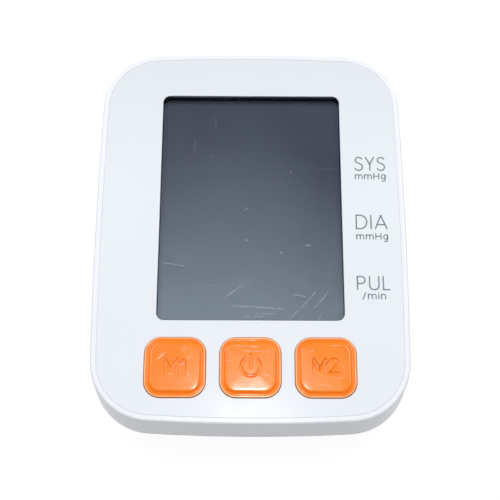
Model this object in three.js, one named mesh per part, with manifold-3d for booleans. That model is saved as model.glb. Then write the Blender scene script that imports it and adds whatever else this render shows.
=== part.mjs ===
// A digital upper-arm blood pressure monitor standing on a table, piece by piece.
// Millimetres. +Z is up and +Y runs from the buttons to the top of the display.
// The origin lies on the table, under the middle of the case.

import * as THREE from 'three';
import { mergeVertices } from 'three/addons/utils/BufferGeometryUtils.js';
import Module from 'manifold-3d';

const wasm = await Module();
wasm.setup();

// Running and seating clearance between two pieces
const GAP = 0.3;

// The case, seen square on to its face
const FACE_WIDTH = 104.8;
const FACE_LENGTH = 133.2;
const CORNER_RADIUS = 20;
const SIDE_BOW_RADIUS = 1780;
const TOP_BOW_RADIUS = 760;
const BOTTOM_BOW_RADIUS = 580;
const RIM_WIDTH = 2;
const RIM_ROUND = 0.8;

// The case, seen from its side
const FACE_TILT = THREE.MathUtils.degToRad(8);
const UNDERSIDE_HEIGHT = 1;
const SKIRT_HEIGHT = 12.5;
const WALL = 2.2;
const COVER_TOP = 1.5;
const LIP_HEIGHT = 1.5;
const LIP_THICKNESS = 0.8;
const DRAFT_SHARE = 0.76;
const DRAFT_INSET = 4.1;
const BASE_ROUND = 2.3;

// The face panel and the display behind it
const PANEL_THICKNESS = 1;
const WINDOW_SIDE_MARGIN = 21.5;
const WINDOW_TOP_MARGIN = 16.8;
const WINDOW_TO_BUTTONS = 5.95;
const WINDOW_CORNER = 2.5;
const LENS_THICKNESS = 1.2;
const GASKET_OVERLAP = 0.5;
const GASKET_WIDTH = 2.5;
const LCD_MARGIN = 2.4;
const LCD_THICKNESS = 2;
const HOLDER_WALL = 1.2;
const HOLDER_LEDGE = 4;
const ZEBRA_WIDTH = 1.6;
const ZEBRA_HEIGHT = 3.3;

// The three buttons and the switches under them
const BUTTON_SIDE_MARGIN = 18.25;
const BUTTON_FRONT_MARGIN = 8.55;
const BUTTON_SPACING = 4.6;
const BUTTON_CORNER = 5.3;
const BUTTON_TRAVEL = 0.8;
const BUTTON_LIP_HEIGHT = 0.45;
const BUTTON_LIP_WIDTH = 0.9;
const BUTTON_GROOVE_HEIGHT = 0.05;
const BUTTON_BAND = 1.9;
const BUTTON_CROWN_HEIGHT = 0.75;
const BUTTON_SKIN = 1.5;
const FLANGE_WIDTH = 1;
const FLANGE_THICKNESS = 1;
const STEM_RADIUS = 2.4;
const SWITCH_SIZE = 6;
const SWITCH_HEIGHT = 3.4;
const PLUNGER_RADIUS = 1.7;
const PLUNGER_LENGTH = 2.4;

// The circuit board and what is soldered to it
const BOARD_SIDE_MARGIN = 8.4;
const BOARD_END_MARGIN = 8.6;
const BOARD_THICKNESS = 1.6;
const BOARD_NOTCH_WIDTH = 10;
const BOARD_NOTCH_LENGTH = 13;
const BOARD_SCREW_FROM_SIDE = 4.5;
const BOARD_SCREW_FROM_END = 17;
const CHIP_SIZE = 14;
const CHIP_HEIGHT = 1.6;
const CHIP_PLACE = [8, 26];
const BUZZER_RADIUS = 6;
const BUZZER_HEIGHT = 4.5;
const BUZZER_PLACE = [-18, 26];
const CAPACITOR_RADIUS = 3.15;
const CAPACITOR_HEIGHT = 6;
const CAPACITOR_PLACE = [24, 26];
const SENSOR_SIZE = 8;
const SENSOR_HEIGHT = 6;
const SENSOR_TO_COMPARTMENT = 9.5;

// Screws and feet
const CASE_SCREW_FROM_CORNER = 10;
const CASE_SCREW_RADIUS = 1.3;
const CASE_SCREW_LENGTH = 12;
const CASE_SCREW_SEAT = 4;
const BOARD_SCREW_RADIUS = 1;
const BOARD_SCREW_LENGTH = 6;
const SCREW_HEAD_HEIGHT = 1.8;
const FOOT_RADIUS = 4.5;
const FOOT_SEAT = 0.6;
const FOOT_FROM_SIDE = 12.9;
const FOOT_FROM_END = 28.6;

// Four AA cells, their contacts and their door
const CELL_COUNT = 4;
const CELL_DIAMETER = 14.2;
const CELL_LENGTH = 50.2;
const CELL_NUB_RADIUS = 2.6;
const CELL_NUB_LENGTH = 1.4;
const CELL_PITCH = 15;
const CONTACT_THICKNESS = 0.5;
const CONTACT_WIDTH = 10;
const CONTACT_HEIGHT = 10;
const SPRING_LENGTH = 4.2;
const SPRING_RADIUS = 3.6;
const SPRING_WIRE = 0.8;
const SPRING_TURNS = 3;
const COMPARTMENT_WALL = 1.5;
const COMPARTMENT_FROM_BACK = 9.35;
const DOOR_THICKNESS = 1.6;
const DOOR_OVERLAP = 1;
const DOOR_TONGUE = 1.6;
const DOOR_TONGUE_THICKNESS = 0.7;
const DOOR_LIP_HEIGHT = 9;
const RAIL_HEIGHT = 3.6;
const RIDGE_COUNT = 5;
const RIDGE_PITCH = 2;
const RIDGE_LENGTH = 22;
const RIDGE_DEPTH = 0.5;

// The air pump, the release valve and the air line
const MOTOR_RADIUS = 8;
const MOTOR_LENGTH = 21;
const MOTOR_X = 6.3;
const PUMP_HEAD_LENGTH = 12.7;
const PUMP_CHAMBER_RADIUS = 6.2;
const PUMP_CHAMBER_DEPTH = 8;
const VALVE_CAP_LENGTH = 5;
const CUSHION_THICKNESS = 2;
const CUSHION_LENGTH = 9;
const SADDLE_THICKNESS = 1.6;
const PUMP_TO_COMPARTMENT = 3.5;
const PUMP_TO_BOARD = 0.64;
const PUMP_TO_VALVE = 3.5;
const CRANK_RADIUS = 4;
const SHAFT_RADIUS = 1;
const NOZZLE_RADIUS = 1.5;
const NOZZLE_LENGTH = 3.5;
const NOZZLE_BORE = 0.7;
const TUBE_WALL = 0.7;
const HOSE_BEND = 0.4;
const AIR_Z = 11;
const SOCKET_RADIUS = 5.5;
const SOCKET_BORE = 4;
const SOCKET_FLANGE = 6.3;
const SOCKET_FLANGE_DEPTH = 6.4;
const SOCKET_DEPTH = 11.4;
const MANIFOLD_LENGTH = 12;
const MANIFOLD_SIZE = 6;
const SOCKET_TO_MANIFOLD = 8;
const MANIFOLD_TO_VALVE = 11;
const VALVE_LENGTH = 18;
const VALVE_WIDTH = 12;
const VALVE_HEIGHT = 12;

// The socket for a mains adaptor
const JACK_RADIUS = 4;
const JACK_BORE = 2.75;
const JACK_PIN = 1;
const JACK_BODY = 9;
const JACK_DEPTH = 9;
const JACK_FROM_SIDE = 6.4;
const JACK_Z = 9;

// Sides of round shapes, by their size
const FINE = 20;
const COARSE = 12;
const SMALL = 8;

// Shapes

function solid(geometry) {
  const bare = geometry.clone();
  bare.deleteAttribute('normal');
  bare.deleteAttribute('uv');
  const merged = mergeVertices(bare, 1e-5);
  const index = merged.index.array;
  const triangles = [];
  for (let i = 0; i < index.length; i += 3) {
    const [a, b, c] = [index[i], index[i + 1], index[i + 2]];
    if (a !== b && b !== c && c !== a) triangles.push(a, b, c);
  }
  return new wasm.Manifold(new wasm.Mesh({
    numProp: 3,
    vertProperties: new Float32Array(merged.attributes.position.array),
    triVerts: new Uint32Array(triangles),
  }));
}

function geometryOf(part) {
  const mesh = part.getMesh();
  const geometry = new THREE.BufferGeometry();
  geometry.setAttribute('position', new THREE.BufferAttribute(mesh.vertProperties, 3));
  geometry.setIndex(new THREE.BufferAttribute(mesh.triVerts, 1));
  const flat = geometry.toNonIndexed();
  flat.computeVertexNormals();
  return flat;
}

// A closed skin over rings of equal count, listed from low to high, each counter-clockwise
function loft(rings) {
  const count = rings[0].length;
  const positions = rings.flat().flatMap((point) => [point.x, point.y, point.z]);
  const index = [];
  for (let level = 0; level + 1 < rings.length; level += 1) {
    for (let i = 0; i < count; i += 1) {
      const a = level * count + i;
      const b = level * count + (i + 1) % count;
      index.push(a, b, b + count, a, b + count, a + count);
    }
  }
  const top = (rings.length - 1) * count;
  const contour = (ring) => ring.map((point) => new THREE.Vector2(point.x, point.y));
  for (const [a, b, c] of THREE.ShapeUtils.triangulateShape(contour(rings[0]), [])) {
    index.push(a, c, b);
  }
  for (const [a, b, c] of THREE.ShapeUtils.triangulateShape(contour(rings.at(-1)), [])) {
    index.push(top + a, top + b, top + c);
  }
  const geometry = new THREE.BufferGeometry();
  geometry.setAttribute('position', new THREE.Float32BufferAttribute(positions, 3));
  geometry.setIndex(index);
  return solid(geometry);
}

function raise(outline, height) {
  return outline.map((point) => new THREE.Vector3(point.x, point.y, height));
}

function prism(outline, low, high) {
  return loft([raise(outline, low), raise(outline, high)]);
}

// A rectangle with round corners about a centre
function roundedRectangle(width, length, radius, [x, y] = [0, 0], steps = 4) {
  const corner = Math.max(Math.min(radius, width / 2 - 0.01, length / 2 - 0.01), 0.05);
  const points = [];
  const signs = [[1, 1], [-1, 1], [-1, -1], [1, -1]];
  signs.forEach(([sx, sy], quarter) => {
    for (let i = 0; i <= steps; i += 1) {
      const angle = (quarter + i / steps) * Math.PI / 2;
      points.push(new THREE.Vector2(
        x + sx * (width / 2 - corner) + corner * Math.cos(angle),
        y + sy * (length / 2 - corner) + corner * Math.sin(angle),
      ));
    }
  });
  return points;
}

function box([x0, x1], [y0, y1], [z0, z1]) {
  const geometry = new THREE.BoxGeometry(x1 - x0, y1 - y0, z1 - z0);
  geometry.translate((x0 + x1) / 2, (y0 + y1) / 2, (z0 + z1) / 2);
  return solid(geometry);
}

// A round bar along x, y or z, from one coordinate to another, through a point of the cross plane
function bar(axis, radius, from, to, [p, q], segments = FINE) {
  const geometry = new THREE.CylinderGeometry(radius, radius, to - from, segments);
  const middle = (from + to) / 2;
  if (axis === 'x') {
    geometry.rotateZ(Math.PI / 2);
    geometry.translate(middle, p, q);
  } else if (axis === 'y') {
    geometry.translate(p, middle, q);
  } else {
    geometry.rotateX(Math.PI / 2);
    geometry.translate(p, q, middle);
  }
  return solid(geometry);
}

// A piece turned about the z axis, from a closed profile of radius and height
function turned(profile, segments = FINE) {
  const points = profile.map(([radius, height]) => new THREE.Vector2(radius, height));
  const geometry = new THREE.LatheGeometry(points, segments);
  geometry.rotateX(Math.PI / 2);
  return solid(geometry);
}

function polygon(radius, sides) {
  const points = [];
  for (let i = 0; i < sides; i += 1) {
    const angle = 2 * Math.PI * (i + 0.5) / sides;
    points.push(new THREE.Vector2(radius * Math.cos(angle), radius * Math.sin(angle)));
  }
  return new THREE.Shape(points);
}

function rope(path, radius, sides, steps) {
  const options = { steps, extrudePath: path, bevelEnabled: false };
  return solid(new THREE.ExtrudeGeometry(polygon(radius, sides), options));
}

// A hollow tube between two nozzles, straight over each of them and curved in between
function hose([from, out], [to, into], steps) {
  const along = (point, direction, length) => point.clone().addScaledVector(direction, length);
  const path = (extra) => {
    const a = along(from, out, NOZZLE_LENGTH);
    const b = along(to, into, -NOZZLE_LENGTH);
    const reach = a.distanceTo(b) * HOSE_BEND;
    const curve = new THREE.CurvePath();
    curve.add(new THREE.LineCurve3(along(from, out, -extra), a));
    curve.add(new THREE.CubicBezierCurve3(a, along(a, out, reach), along(b, into, -reach), b));
    curve.add(new THREE.LineCurve3(b, along(to, into, extra)));
    return curve;
  };
  const bore = NOZZLE_RADIUS + GAP;
  const core = rope(path(1), bore, SMALL, steps + 1);
  return rope(path(0), bore + TUBE_WALL, SMALL, steps).subtract(core);
}

// The outline of the case: four slightly bowed sides joined by round corners

const HALF_WIDTH = FACE_WIDTH / 2;
const HALF_LENGTH = FACE_LENGTH / 2;
const SIDE_STEPS = 4;
const CORNER_STEPS = 6;

const SIDES = [
  { centre: new THREE.Vector2(HALF_WIDTH - SIDE_BOW_RADIUS, 0), radius: SIDE_BOW_RADIUS },
  { centre: new THREE.Vector2(0, HALF_LENGTH - TOP_BOW_RADIUS), radius: TOP_BOW_RADIUS },
  { centre: new THREE.Vector2(SIDE_BOW_RADIUS - HALF_WIDTH, 0), radius: SIDE_BOW_RADIUS },
  { centre: new THREE.Vector2(0, BOTTOM_BOW_RADIUS - HALF_LENGTH), radius: BOTTOM_BOW_RADIUS },
];
const QUARTERS = [[1, 1], [-1, 1], [-1, -1], [1, -1]];

// The centre of the corner arc that touches two sides from inside
function cornerCentre(one, two, [sx, sy]) {
  const a = one.radius - CORNER_RADIUS;
  const b = two.radius - CORNER_RADIUS;
  const line = two.centre.clone().sub(one.centre);
  const distance = line.length();
  const along = (distance ** 2 + a ** 2 - b ** 2) / (2 * distance);
  const across = Math.sqrt(a ** 2 - along ** 2);
  line.normalize();
  const foot = line.clone().multiplyScalar(along).add(one.centre);
  const side = new THREE.Vector2(-line.y, line.x).multiplyScalar(across);
  const choices = [foot.clone().add(side), foot.clone().sub(side)];
  return choices.find((point) => point.x * sx > 0 && point.y * sy > 0);
}

const CORNERS = QUARTERS.map((quarter, i) => cornerCentre(SIDES[i], SIDES[(i + 1) % 4], quarter));

function arc(centre, radius, from, to, steps) {
  const start = from.clone().sub(centre).angle();
  const turn = (to.clone().sub(centre).angle() - start + 2 * Math.PI) % (2 * Math.PI);
  const points = [];
  for (let i = 0; i < steps; i += 1) {
    const angle = start + turn * i / steps;
    points.push(new THREE.Vector2(
      centre.x + radius * Math.cos(angle),
      centre.y + radius * Math.sin(angle),
    ));
  }
  return points;
}

function caseOutline(inset) {
  return SIDES.flatMap((side, i) => {
    const before = CORNERS[(i + 3) % 4];
    const corner = CORNERS[i];
    const next = SIDES[(i + 1) % 4];
    const outward = (one) => corner.clone().sub(one.centre).normalize().add(corner);
    return [
      ...arc(side.centre, side.radius - inset, before, corner, SIDE_STEPS),
      ...arc(corner, CORNER_RADIUS - inset, outward(side), outward(next), CORNER_STEPS),
    ];
  });
}

// Heights. The face leans towards the user, and the case walls stand upright.

const TILT_COS = Math.cos(FACE_TILT);
const TILT_TAN = Math.tan(FACE_TILT);
const FLOOR_Z = UNDERSIDE_HEIGHT + WALL;

// The window and the button row share out the face
const BUTTON_SIZE = (FACE_WIDTH - 2 * BUTTON_SIDE_MARGIN - 2 * BUTTON_SPACING) / 3;
const BUTTON_PITCH = BUTTON_SIZE + BUTTON_SPACING;
const BUTTON_Y = BUTTON_FRONT_MARGIN + BUTTON_SIZE / 2 - HALF_LENGTH;
const WINDOW_WIDTH = FACE_WIDTH - 2 * WINDOW_SIDE_MARGIN;
const WINDOW_BOTTOM = BUTTON_Y + BUTTON_SIZE / 2 + WINDOW_TO_BUTTONS;
const WINDOW_TOP = HALF_LENGTH - WINDOW_TOP_MARGIN;
const WINDOW_LENGTH = WINDOW_TOP - WINDOW_BOTTOM;
const WINDOW_Y = (WINDOW_TOP + WINDOW_BOTTOM) / 2;

// The board and the feet keep their distance from the case
const BOARD_WIDTH = FACE_WIDTH - 2 * BOARD_SIDE_MARGIN;
const BOARD_LENGTH = FACE_LENGTH - 2 * BOARD_END_MARGIN;
const BOARD_SCREW_X = BOARD_WIDTH / 2 - BOARD_SCREW_FROM_SIDE;
const BOARD_SCREW_Y = BOARD_LENGTH / 2 - BOARD_SCREW_FROM_END;
const FOOT_X = HALF_WIDTH - FOOT_FROM_SIDE;
const FOOT_Y = HALF_LENGTH - FOOT_FROM_END;

// Depths under the face, square to it
const RECESS_DEPTH = PANEL_THICKNESS + GAP;
const COVER_UNDERSIDE = RECESS_DEPTH + COVER_TOP;
const LCD_TOP = COVER_UNDERSIDE + GAP;
const LCD_UNDERSIDE = LCD_TOP + LCD_THICKNESS;
const BOARD_TOP = LCD_UNDERSIDE + ZEBRA_HEIGHT + 2 * GAP;
const BOARD_UNDERSIDE = BOARD_TOP + BOARD_THICKNESS;
const SOLDER_LEVEL = BOARD_UNDERSIDE + GAP;
const FLANGE_TOP = COVER_UNDERSIDE + GAP;
const FLANGE_UNDERSIDE = FLANGE_TOP + FLANGE_THICKNESS;
const SWITCH_TOP = BOARD_TOP - GAP - SWITCH_HEIGHT;

// The battery compartment, from the cells' own sizes
const DOOR_TOP = UNDERSIDE_HEIGHT + DOOR_THICKNESS;
const CELL_RADIUS = CELL_DIAMETER / 2;
const CELL_Z = DOOR_TOP + GAP + CELL_RADIUS;
const ROOF_Z = CELL_Z + CELL_RADIUS + GAP;
const COMPARTMENT_HALF = (CELL_COUNT - 1) * CELL_PITCH / 2 + CELL_RADIUS + GAP;
const CELL_ROOM = CELL_LENGTH + SPRING_LENGTH + 2 * CONTACT_THICKNESS + 4 * GAP;
const COMPARTMENT_OUTER = COMPARTMENT_HALF + COMPARTMENT_WALL;
const COMPARTMENT_END = HALF_LENGTH * TILT_COS - COMPARTMENT_FROM_BACK;
const COMPARTMENT_BACK = COMPARTMENT_END - COMPARTMENT_WALL;
const COMPARTMENT_FRONT = COMPARTMENT_BACK - CELL_ROOM;
const DOOR_HALF = COMPARTMENT_HALF + DOOR_OVERLAP;
const TONGUE_LOW = DOOR_TOP - DOOR_TONGUE_THICKNESS;
const TONGUE_HALF = DOOR_HALF + DOOR_TONGUE;
const CELLS = Array.from({ length: CELL_COUNT }, (_, i) => ({
  name: `battery_cell_${i + 1}`,
  x: (i - (CELL_COUNT - 1) / 2) * CELL_PITCH,
  springAtFront: i % 2 === 0,
}));

// The pump lies along x on its cushion, in front of the compartment
const PUMP_Y = COMPARTMENT_FRONT - COMPARTMENT_WALL - PUMP_TO_COMPARTMENT - MOTOR_RADIUS;
const PUMP_Z = FLOOR_Z + CUSHION_THICKNESS + 2 * GAP + MOTOR_RADIUS;
const PUMP_AXIS = [PUMP_Y, PUMP_Z];
const HEAD_END = MOTOR_X - GAP - PUMP_HEAD_LENGTH;
const CAP_END = HEAD_END - GAP - VALVE_CAP_LENGTH;
const SADDLES = [MOTOR_X + 3, MOTOR_X + MOTOR_LENGTH - 3 - SADDLE_THICKNESS];

// The board lies just over the pump, which sets the height of the face
const PUMP_TO_FACE = MOTOR_RADIUS + PUMP_TO_BOARD + BOARD_UNDERSIDE;
const FACE_CENTRE_Z = PUMP_Z + PUMP_TO_FACE / TILT_COS - PUMP_Y * TILT_TAN;
const FACE_TOP_Z = FACE_CENTRE_Z + HALF_LENGTH * TILT_TAN;

function partingHeight(y) {
  return FACE_CENTRE_Z + y * TILT_TAN - SKIRT_HEIGHT;
}

// The air line crosses the case in front of the pump, from the socket to the release valve
const AIR_Y = PUMP_Y - MOTOR_RADIUS - PUMP_TO_VALVE - VALVE_WIDTH / 2;
const SOCKET_FLANGE_X = SOCKET_FLANGE_DEPTH - HALF_WIDTH;
const SOCKET_INNER_X = SOCKET_DEPTH - HALF_WIDTH;
const MANIFOLD_LEFT = SOCKET_INNER_X + SOCKET_TO_MANIFOLD;
const MANIFOLD_RIGHT = MANIFOLD_LEFT + MANIFOLD_LENGTH;
const MANIFOLD_X = (MANIFOLD_LEFT + MANIFOLD_RIGHT) / 2;
const MANIFOLD_BACK = AIR_Y + MANIFOLD_SIZE / 2;
const PUMP_PORT_X = MANIFOLD_X + MANIFOLD_LENGTH / 3;
const SENSOR_X = MANIFOLD_X - MANIFOLD_LENGTH / 3;
const SENSOR_Y = COMPARTMENT_FRONT - SENSOR_TO_COMPARTMENT;
const VALVE_LEFT = MANIFOLD_RIGHT + MANIFOLD_TO_VALVE;
const VALVE_RIGHT = VALVE_LEFT + VALVE_LENGTH;
const JACK_X = HALF_WIDTH - JACK_FROM_SIDE;

const BUTTONS = [
  { name: 'memory_1', x: -BUTTON_PITCH },
  { name: 'power', x: 0 },
  { name: 'memory_2', x: BUTTON_PITCH },
];
const SCREW_SIGNS = [[-1, -1], [1, -1], [1, 1], [-1, 1]];
const CASE_SCREWS = CORNERS.map((corner, i) => {
  const reach = CASE_SCREW_FROM_CORNER * Math.SQRT1_2;
  const [sx, sy] = QUARTERS[i];
  return [corner.x + sx * reach, (corner.y + sy * reach) * TILT_COS];
});

// Materials

function material(color, roughness, metalness = 0) {
  return new THREE.MeshStandardMaterial({ color, roughness, metalness });
}

const WHITE_PLASTIC = material(0xebf0f7, 0.35);
const WHITE_PANEL = material(0xeef3fa, 0.18);
const CLEAR_LENS = material(0x8a94a0, 0.05);
const BLACK_FOAM = material(0x14161a, 0.8);
const DISPLAY_GLASS = material(0x565d68, 0.12);
const NATURAL_PLASTIC = material(0xdcdcd4, 0.5);
const ORANGE_PLASTIC = material(0xff7f1e, 0.15);
const CONDUCTIVE_RUBBER = material(0x3a3a3c, 0.7);
const GREEN_BOARD = material(0x1f6b3c, 0.45);
const BLACK_PLASTIC = material(0x1b1b1d, 0.45);
const CHIP_PLASTIC = material(0x232326, 0.5);
const STEEL = material(0xb9bcc0, 0.3, 1);
const NICKEL = material(0xc8c6be, 0.25, 1);
const CELL_JACKET = material(0x4a6f8f, 0.35, 0.3);
const SILICONE = material(0xe4e2da, 0.6);
const GREY_RUBBER = material(0x6d7074, 0.85);
const GREY_PLASTIC = material(0xa9adb2, 0.45);

const monitor = new THREE.Group();
const face = new THREE.Group();
face.position.z = FACE_CENTRE_Z;
face.rotation.x = FACE_TILT;
face.updateMatrix();
monitor.add(face);

function place(group, name, part, finish) {
  const mesh = new THREE.Mesh(geometryOf(part), finish);
  mesh.name = name;
  group.add(mesh);
  return mesh;
}

// A solid in the upright frame, carried into the leaning frame of the face
function toFace(part) {
  const geometry = geometryOf(part);
  geometry.applyMatrix4(face.matrix.clone().invert());
  return solid(geometry);
}

// The front cover

function faceRing(inset, level) {
  const ring = raise(caseOutline(inset), level);
  return ring.map((point) => point.setY(point.y + level * TILT_TAN));
}

function frontCover() {
  const skirt = -(SKIRT_HEIGHT - GAP) * TILT_COS;
  const rim = [];
  const rimSteps = 3;
  for (let i = 0; i <= rimSteps; i += 1) {
    const angle = i / rimSteps * Math.PI / 2;
    rim.push(faceRing(RIM_ROUND * (1 - Math.cos(angle)), -RIM_ROUND * (1 - Math.sin(angle))));
  }
  const outer = loft([faceRing(0, skirt), ...rim]);
  const rebate = WALL - LIP_THICKNESS - GAP;
  const cavity = loft([faceRing(WALL, skirt - 1), faceRing(WALL, -COVER_UNDERSIDE)]);
  const lipRoom = skirt + (LIP_HEIGHT + GAP) * TILT_COS;
  const lipCut = loft([faceRing(rebate, skirt - 1), faceRing(rebate, lipRoom)]);
  const recess = prism(caseOutline(RIM_WIDTH), -RECESS_DEPTH, 1);
  let cover = outer.subtract(cavity).subtract(lipCut).subtract(recess);

  const gasketRoom = 2 * (GASKET_WIDTH - GASKET_OVERLAP + GAP);
  const window = roundedRectangle(
    WINDOW_WIDTH + gasketRoom,
    WINDOW_LENGTH + gasketRoom,
    WINDOW_CORNER + gasketRoom / 2,
    [0, WINDOW_Y],
  );
  cover = cover.subtract(prism(window, -COVER_UNDERSIDE - 1, 1));
  for (const { x } of BUTTONS) {
    cover = cover.subtract(prism(buttonOutline(GAP, x), -COVER_UNDERSIDE - 1, 1));
  }

  for (const [sx, sy] of SCREW_SIGNS) {
    const spot = [sx * BOARD_SCREW_X, sy * BOARD_SCREW_Y];
    const boss = bar('z', BOARD_SCREW_RADIUS + 1.8, -BOARD_TOP + GAP, -COVER_UNDERSIDE + 0.5, spot);
    const bore = bar('z', BOARD_SCREW_RADIUS + GAP, -BOARD_TOP, -COVER_UNDERSIDE - 0.5, spot, COARSE);
    cover = cover.add(boss).subtract(bore);
  }
  const bossRadius = CASE_SCREW_RADIUS + 1.9;
  for (const spot of CASE_SCREWS) {
    const top = FACE_CENTRE_Z + spot[1] * TILT_TAN - COVER_UNDERSIDE;
    const post = toFace(bar('z', bossRadius, 0, top + 0.5, spot)).intersect(outer);
    const bore = toFace(bar('z', CASE_SCREW_RADIUS + GAP, 0, top - 1.5, spot, COARSE));
    cover = cover.add(post).subtract(bore);
  }
  return cover;
}

// The panel that lies in the front cover, and the window in it

function buttonOutline(growth, x) {
  const size = BUTTON_SIZE + 2 * growth;
  return roundedRectangle(size, size, BUTTON_CORNER + growth, [x, BUTTON_Y], 5);
}

function windowOutline(growth) {
  return roundedRectangle(
    WINDOW_WIDTH + 2 * growth,
    WINDOW_LENGTH + 2 * growth,
    WINDOW_CORNER + growth,
    [0, WINDOW_Y],
  );
}

function facePanel() {
  let panel = prism(caseOutline(RIM_WIDTH + GAP), -PANEL_THICKNESS, 0);
  panel = panel.subtract(prism(windowOutline(0), -PANEL_THICKNESS - 1, 1));
  for (const { x } of BUTTONS) {
    panel = panel.subtract(prism(buttonOutline(GAP, x), -PANEL_THICKNESS - 1, 1));
  }
  return panel;
}

function displayGasket() {
  const top = -LENS_THICKNESS - GAP;
  const outer = prism(windowOutline(GASKET_WIDTH - GASKET_OVERLAP), -COVER_UNDERSIDE, top);
  return outer.subtract(prism(windowOutline(-GASKET_OVERLAP), -COVER_UNDERSIDE - 1, top + 1));
}

// The display glass, its holder and the two rubber connectors that feed it

function displayRectangle(margin) {
  const width = WINDOW_WIDTH + 2 * margin;
  const length = WINDOW_LENGTH + 2 * margin;
  return { width, length, outline: roundedRectangle(width, length, 0.5, [0, WINDOW_Y], 1) };
}

const LCD = displayRectangle(LCD_MARGIN);
const ZEBRA_Y = LCD.length / 2 - ZEBRA_WIDTH;
const ZEBRA_LENGTH = LCD.width - 8;

function zebraOutline(sign, growth) {
  const centre = [0, WINDOW_Y + sign * ZEBRA_Y];
  const size = [ZEBRA_LENGTH + 2 * growth, ZEBRA_WIDTH + 2 * growth];
  return roundedRectangle(...size, 0.2, centre, 1);
}

function lcdHolder() {
  const shelf = -LCD_UNDERSIDE - GAP;
  const outer = displayRectangle(LCD_MARGIN + GAP + HOLDER_WALL).outline;
  let holder = prism(outer, -BOARD_TOP + GAP, -LCD_TOP);
  holder = holder.subtract(prism(displayRectangle(LCD_MARGIN + GAP).outline, shelf, 0));
  const hole = displayRectangle(LCD_MARGIN - HOLDER_LEDGE).outline;
  holder = holder.subtract(prism(hole, -BOARD_TOP, 0));
  for (const sign of [1, -1]) {
    holder = holder.subtract(prism(zebraOutline(sign, GAP), -BOARD_TOP, 0));
  }
  return holder;
}

// A button: a hollow cap with a raised lip, a groove and a crown, held by its flange

function buttonRing(inset, level, x) {
  return raise(buttonOutline(-inset, x), level);
}

function buttonCap(x) {
  const crown = BUTTON_CROWN_HEIGHT;
  const cap = loft([
    buttonRing(-FLANGE_WIDTH, -FLANGE_UNDERSIDE, x),
    buttonRing(-FLANGE_WIDTH, -FLANGE_TOP, x),
    buttonRing(0, -FLANGE_TOP, x),
    buttonRing(0, BUTTON_LIP_HEIGHT - 0.25, x),
    buttonRing(0.25, BUTTON_LIP_HEIGHT, x),
    buttonRing(BUTTON_LIP_WIDTH - 0.2, BUTTON_LIP_HEIGHT, x),
    buttonRing(BUTTON_LIP_WIDTH, BUTTON_GROOVE_HEIGHT, x),
    buttonRing(BUTTON_BAND - 0.3, BUTTON_GROOVE_HEIGHT, x),
    buttonRing(BUTTON_BAND, crown - 0.35, x),
    buttonRing(BUTTON_BAND + 0.45, crown - 0.1, x),
    buttonRing(BUTTON_BAND + 1.6, crown, x),
  ]);
  const room = buttonRing(BUTTON_BAND, -FLANGE_UNDERSIDE - 1, x);
  const hollow = loft([room, buttonRing(BUTTON_BAND, BUTTON_GROOVE_HEIGHT - BUTTON_SKIN, x)]);
  const stem = bar('z', STEM_RADIUS, -FLANGE_UNDERSIDE, 0, [x, BUTTON_Y], COARSE);
  return cap.subtract(hollow).add(stem);
}

function switchHousing(x) {
  const outline = roundedRectangle(SWITCH_SIZE, SWITCH_SIZE, 0.6, [x, BUTTON_Y], 2);
  const housing = prism(outline, -BOARD_TOP + GAP, -SWITCH_TOP);
  const well = PLUNGER_LENGTH + BUTTON_TRAVEL + GAP - (SWITCH_TOP - FLANGE_UNDERSIDE - GAP);
  const bore = [PLUNGER_RADIUS + GAP, -SWITCH_TOP - well, 0];
  return housing.subtract(bar('z', ...bore, [x, BUTTON_Y], COARSE));
}

function switchPlunger(x) {
  const top = -FLANGE_UNDERSIDE - GAP;
  return bar('z', PLUNGER_RADIUS, top - PLUNGER_LENGTH, top, [x, BUTTON_Y], COARSE);
}

// The circuit board and its parts

function boardOutline() {
  const [w, l] = [BOARD_WIDTH / 2, BOARD_LENGTH / 2];
  const [nw, nl] = [w - BOARD_NOTCH_WIDTH, l - BOARD_NOTCH_LENGTH];
  const corners = [
    [w, -nl], [w, nl], [nw, nl], [nw, l], [-nw, l], [-nw, nl],
    [-w, nl], [-w, -nl], [-nw, -nl], [-nw, -l], [nw, -l], [nw, -nl],
  ];
  return corners.map(([x, y]) => new THREE.Vector2(x, y));
}

function mainBoard() {
  let board = prism(boardOutline(), -BOARD_UNDERSIDE, -BOARD_TOP);
  for (const [sx, sy] of SCREW_SIGNS) {
    const spot = [sx * BOARD_SCREW_X, sy * BOARD_SCREW_Y];
    const span = [-BOARD_UNDERSIDE - 1, -BOARD_TOP + 1];
    board = board.subtract(bar('z', BOARD_SCREW_RADIUS + GAP, ...span, spot, COARSE));
  }
  return board;
}

function hangingBar(radius, height, spot) {
  return bar('z', radius, -SOLDER_LEVEL - height, -SOLDER_LEVEL, spot);
}

function controllerChip() {
  const outline = roundedRectangle(CHIP_SIZE, CHIP_SIZE, 0.8, CHIP_PLACE, 1);
  return prism(outline, -SOLDER_LEVEL - CHIP_HEIGHT, -SOLDER_LEVEL);
}

function buzzer() {
  const body = hangingBar(BUZZER_RADIUS, BUZZER_HEIGHT, BUZZER_PLACE);
  const bottom = -SOLDER_LEVEL - BUZZER_HEIGHT;
  return body.subtract(bar('z', 1, bottom - 1, bottom + 1, BUZZER_PLACE, COARSE));
}

// The pressure sensor hangs under the board and points its nozzle at the user
const SENSOR_FRONT = SENSOR_Y - SENSOR_SIZE / 2;
const SENSOR_NOZZLE_LEVEL = -SOLDER_LEVEL - SENSOR_HEIGHT * 0.55;

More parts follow.
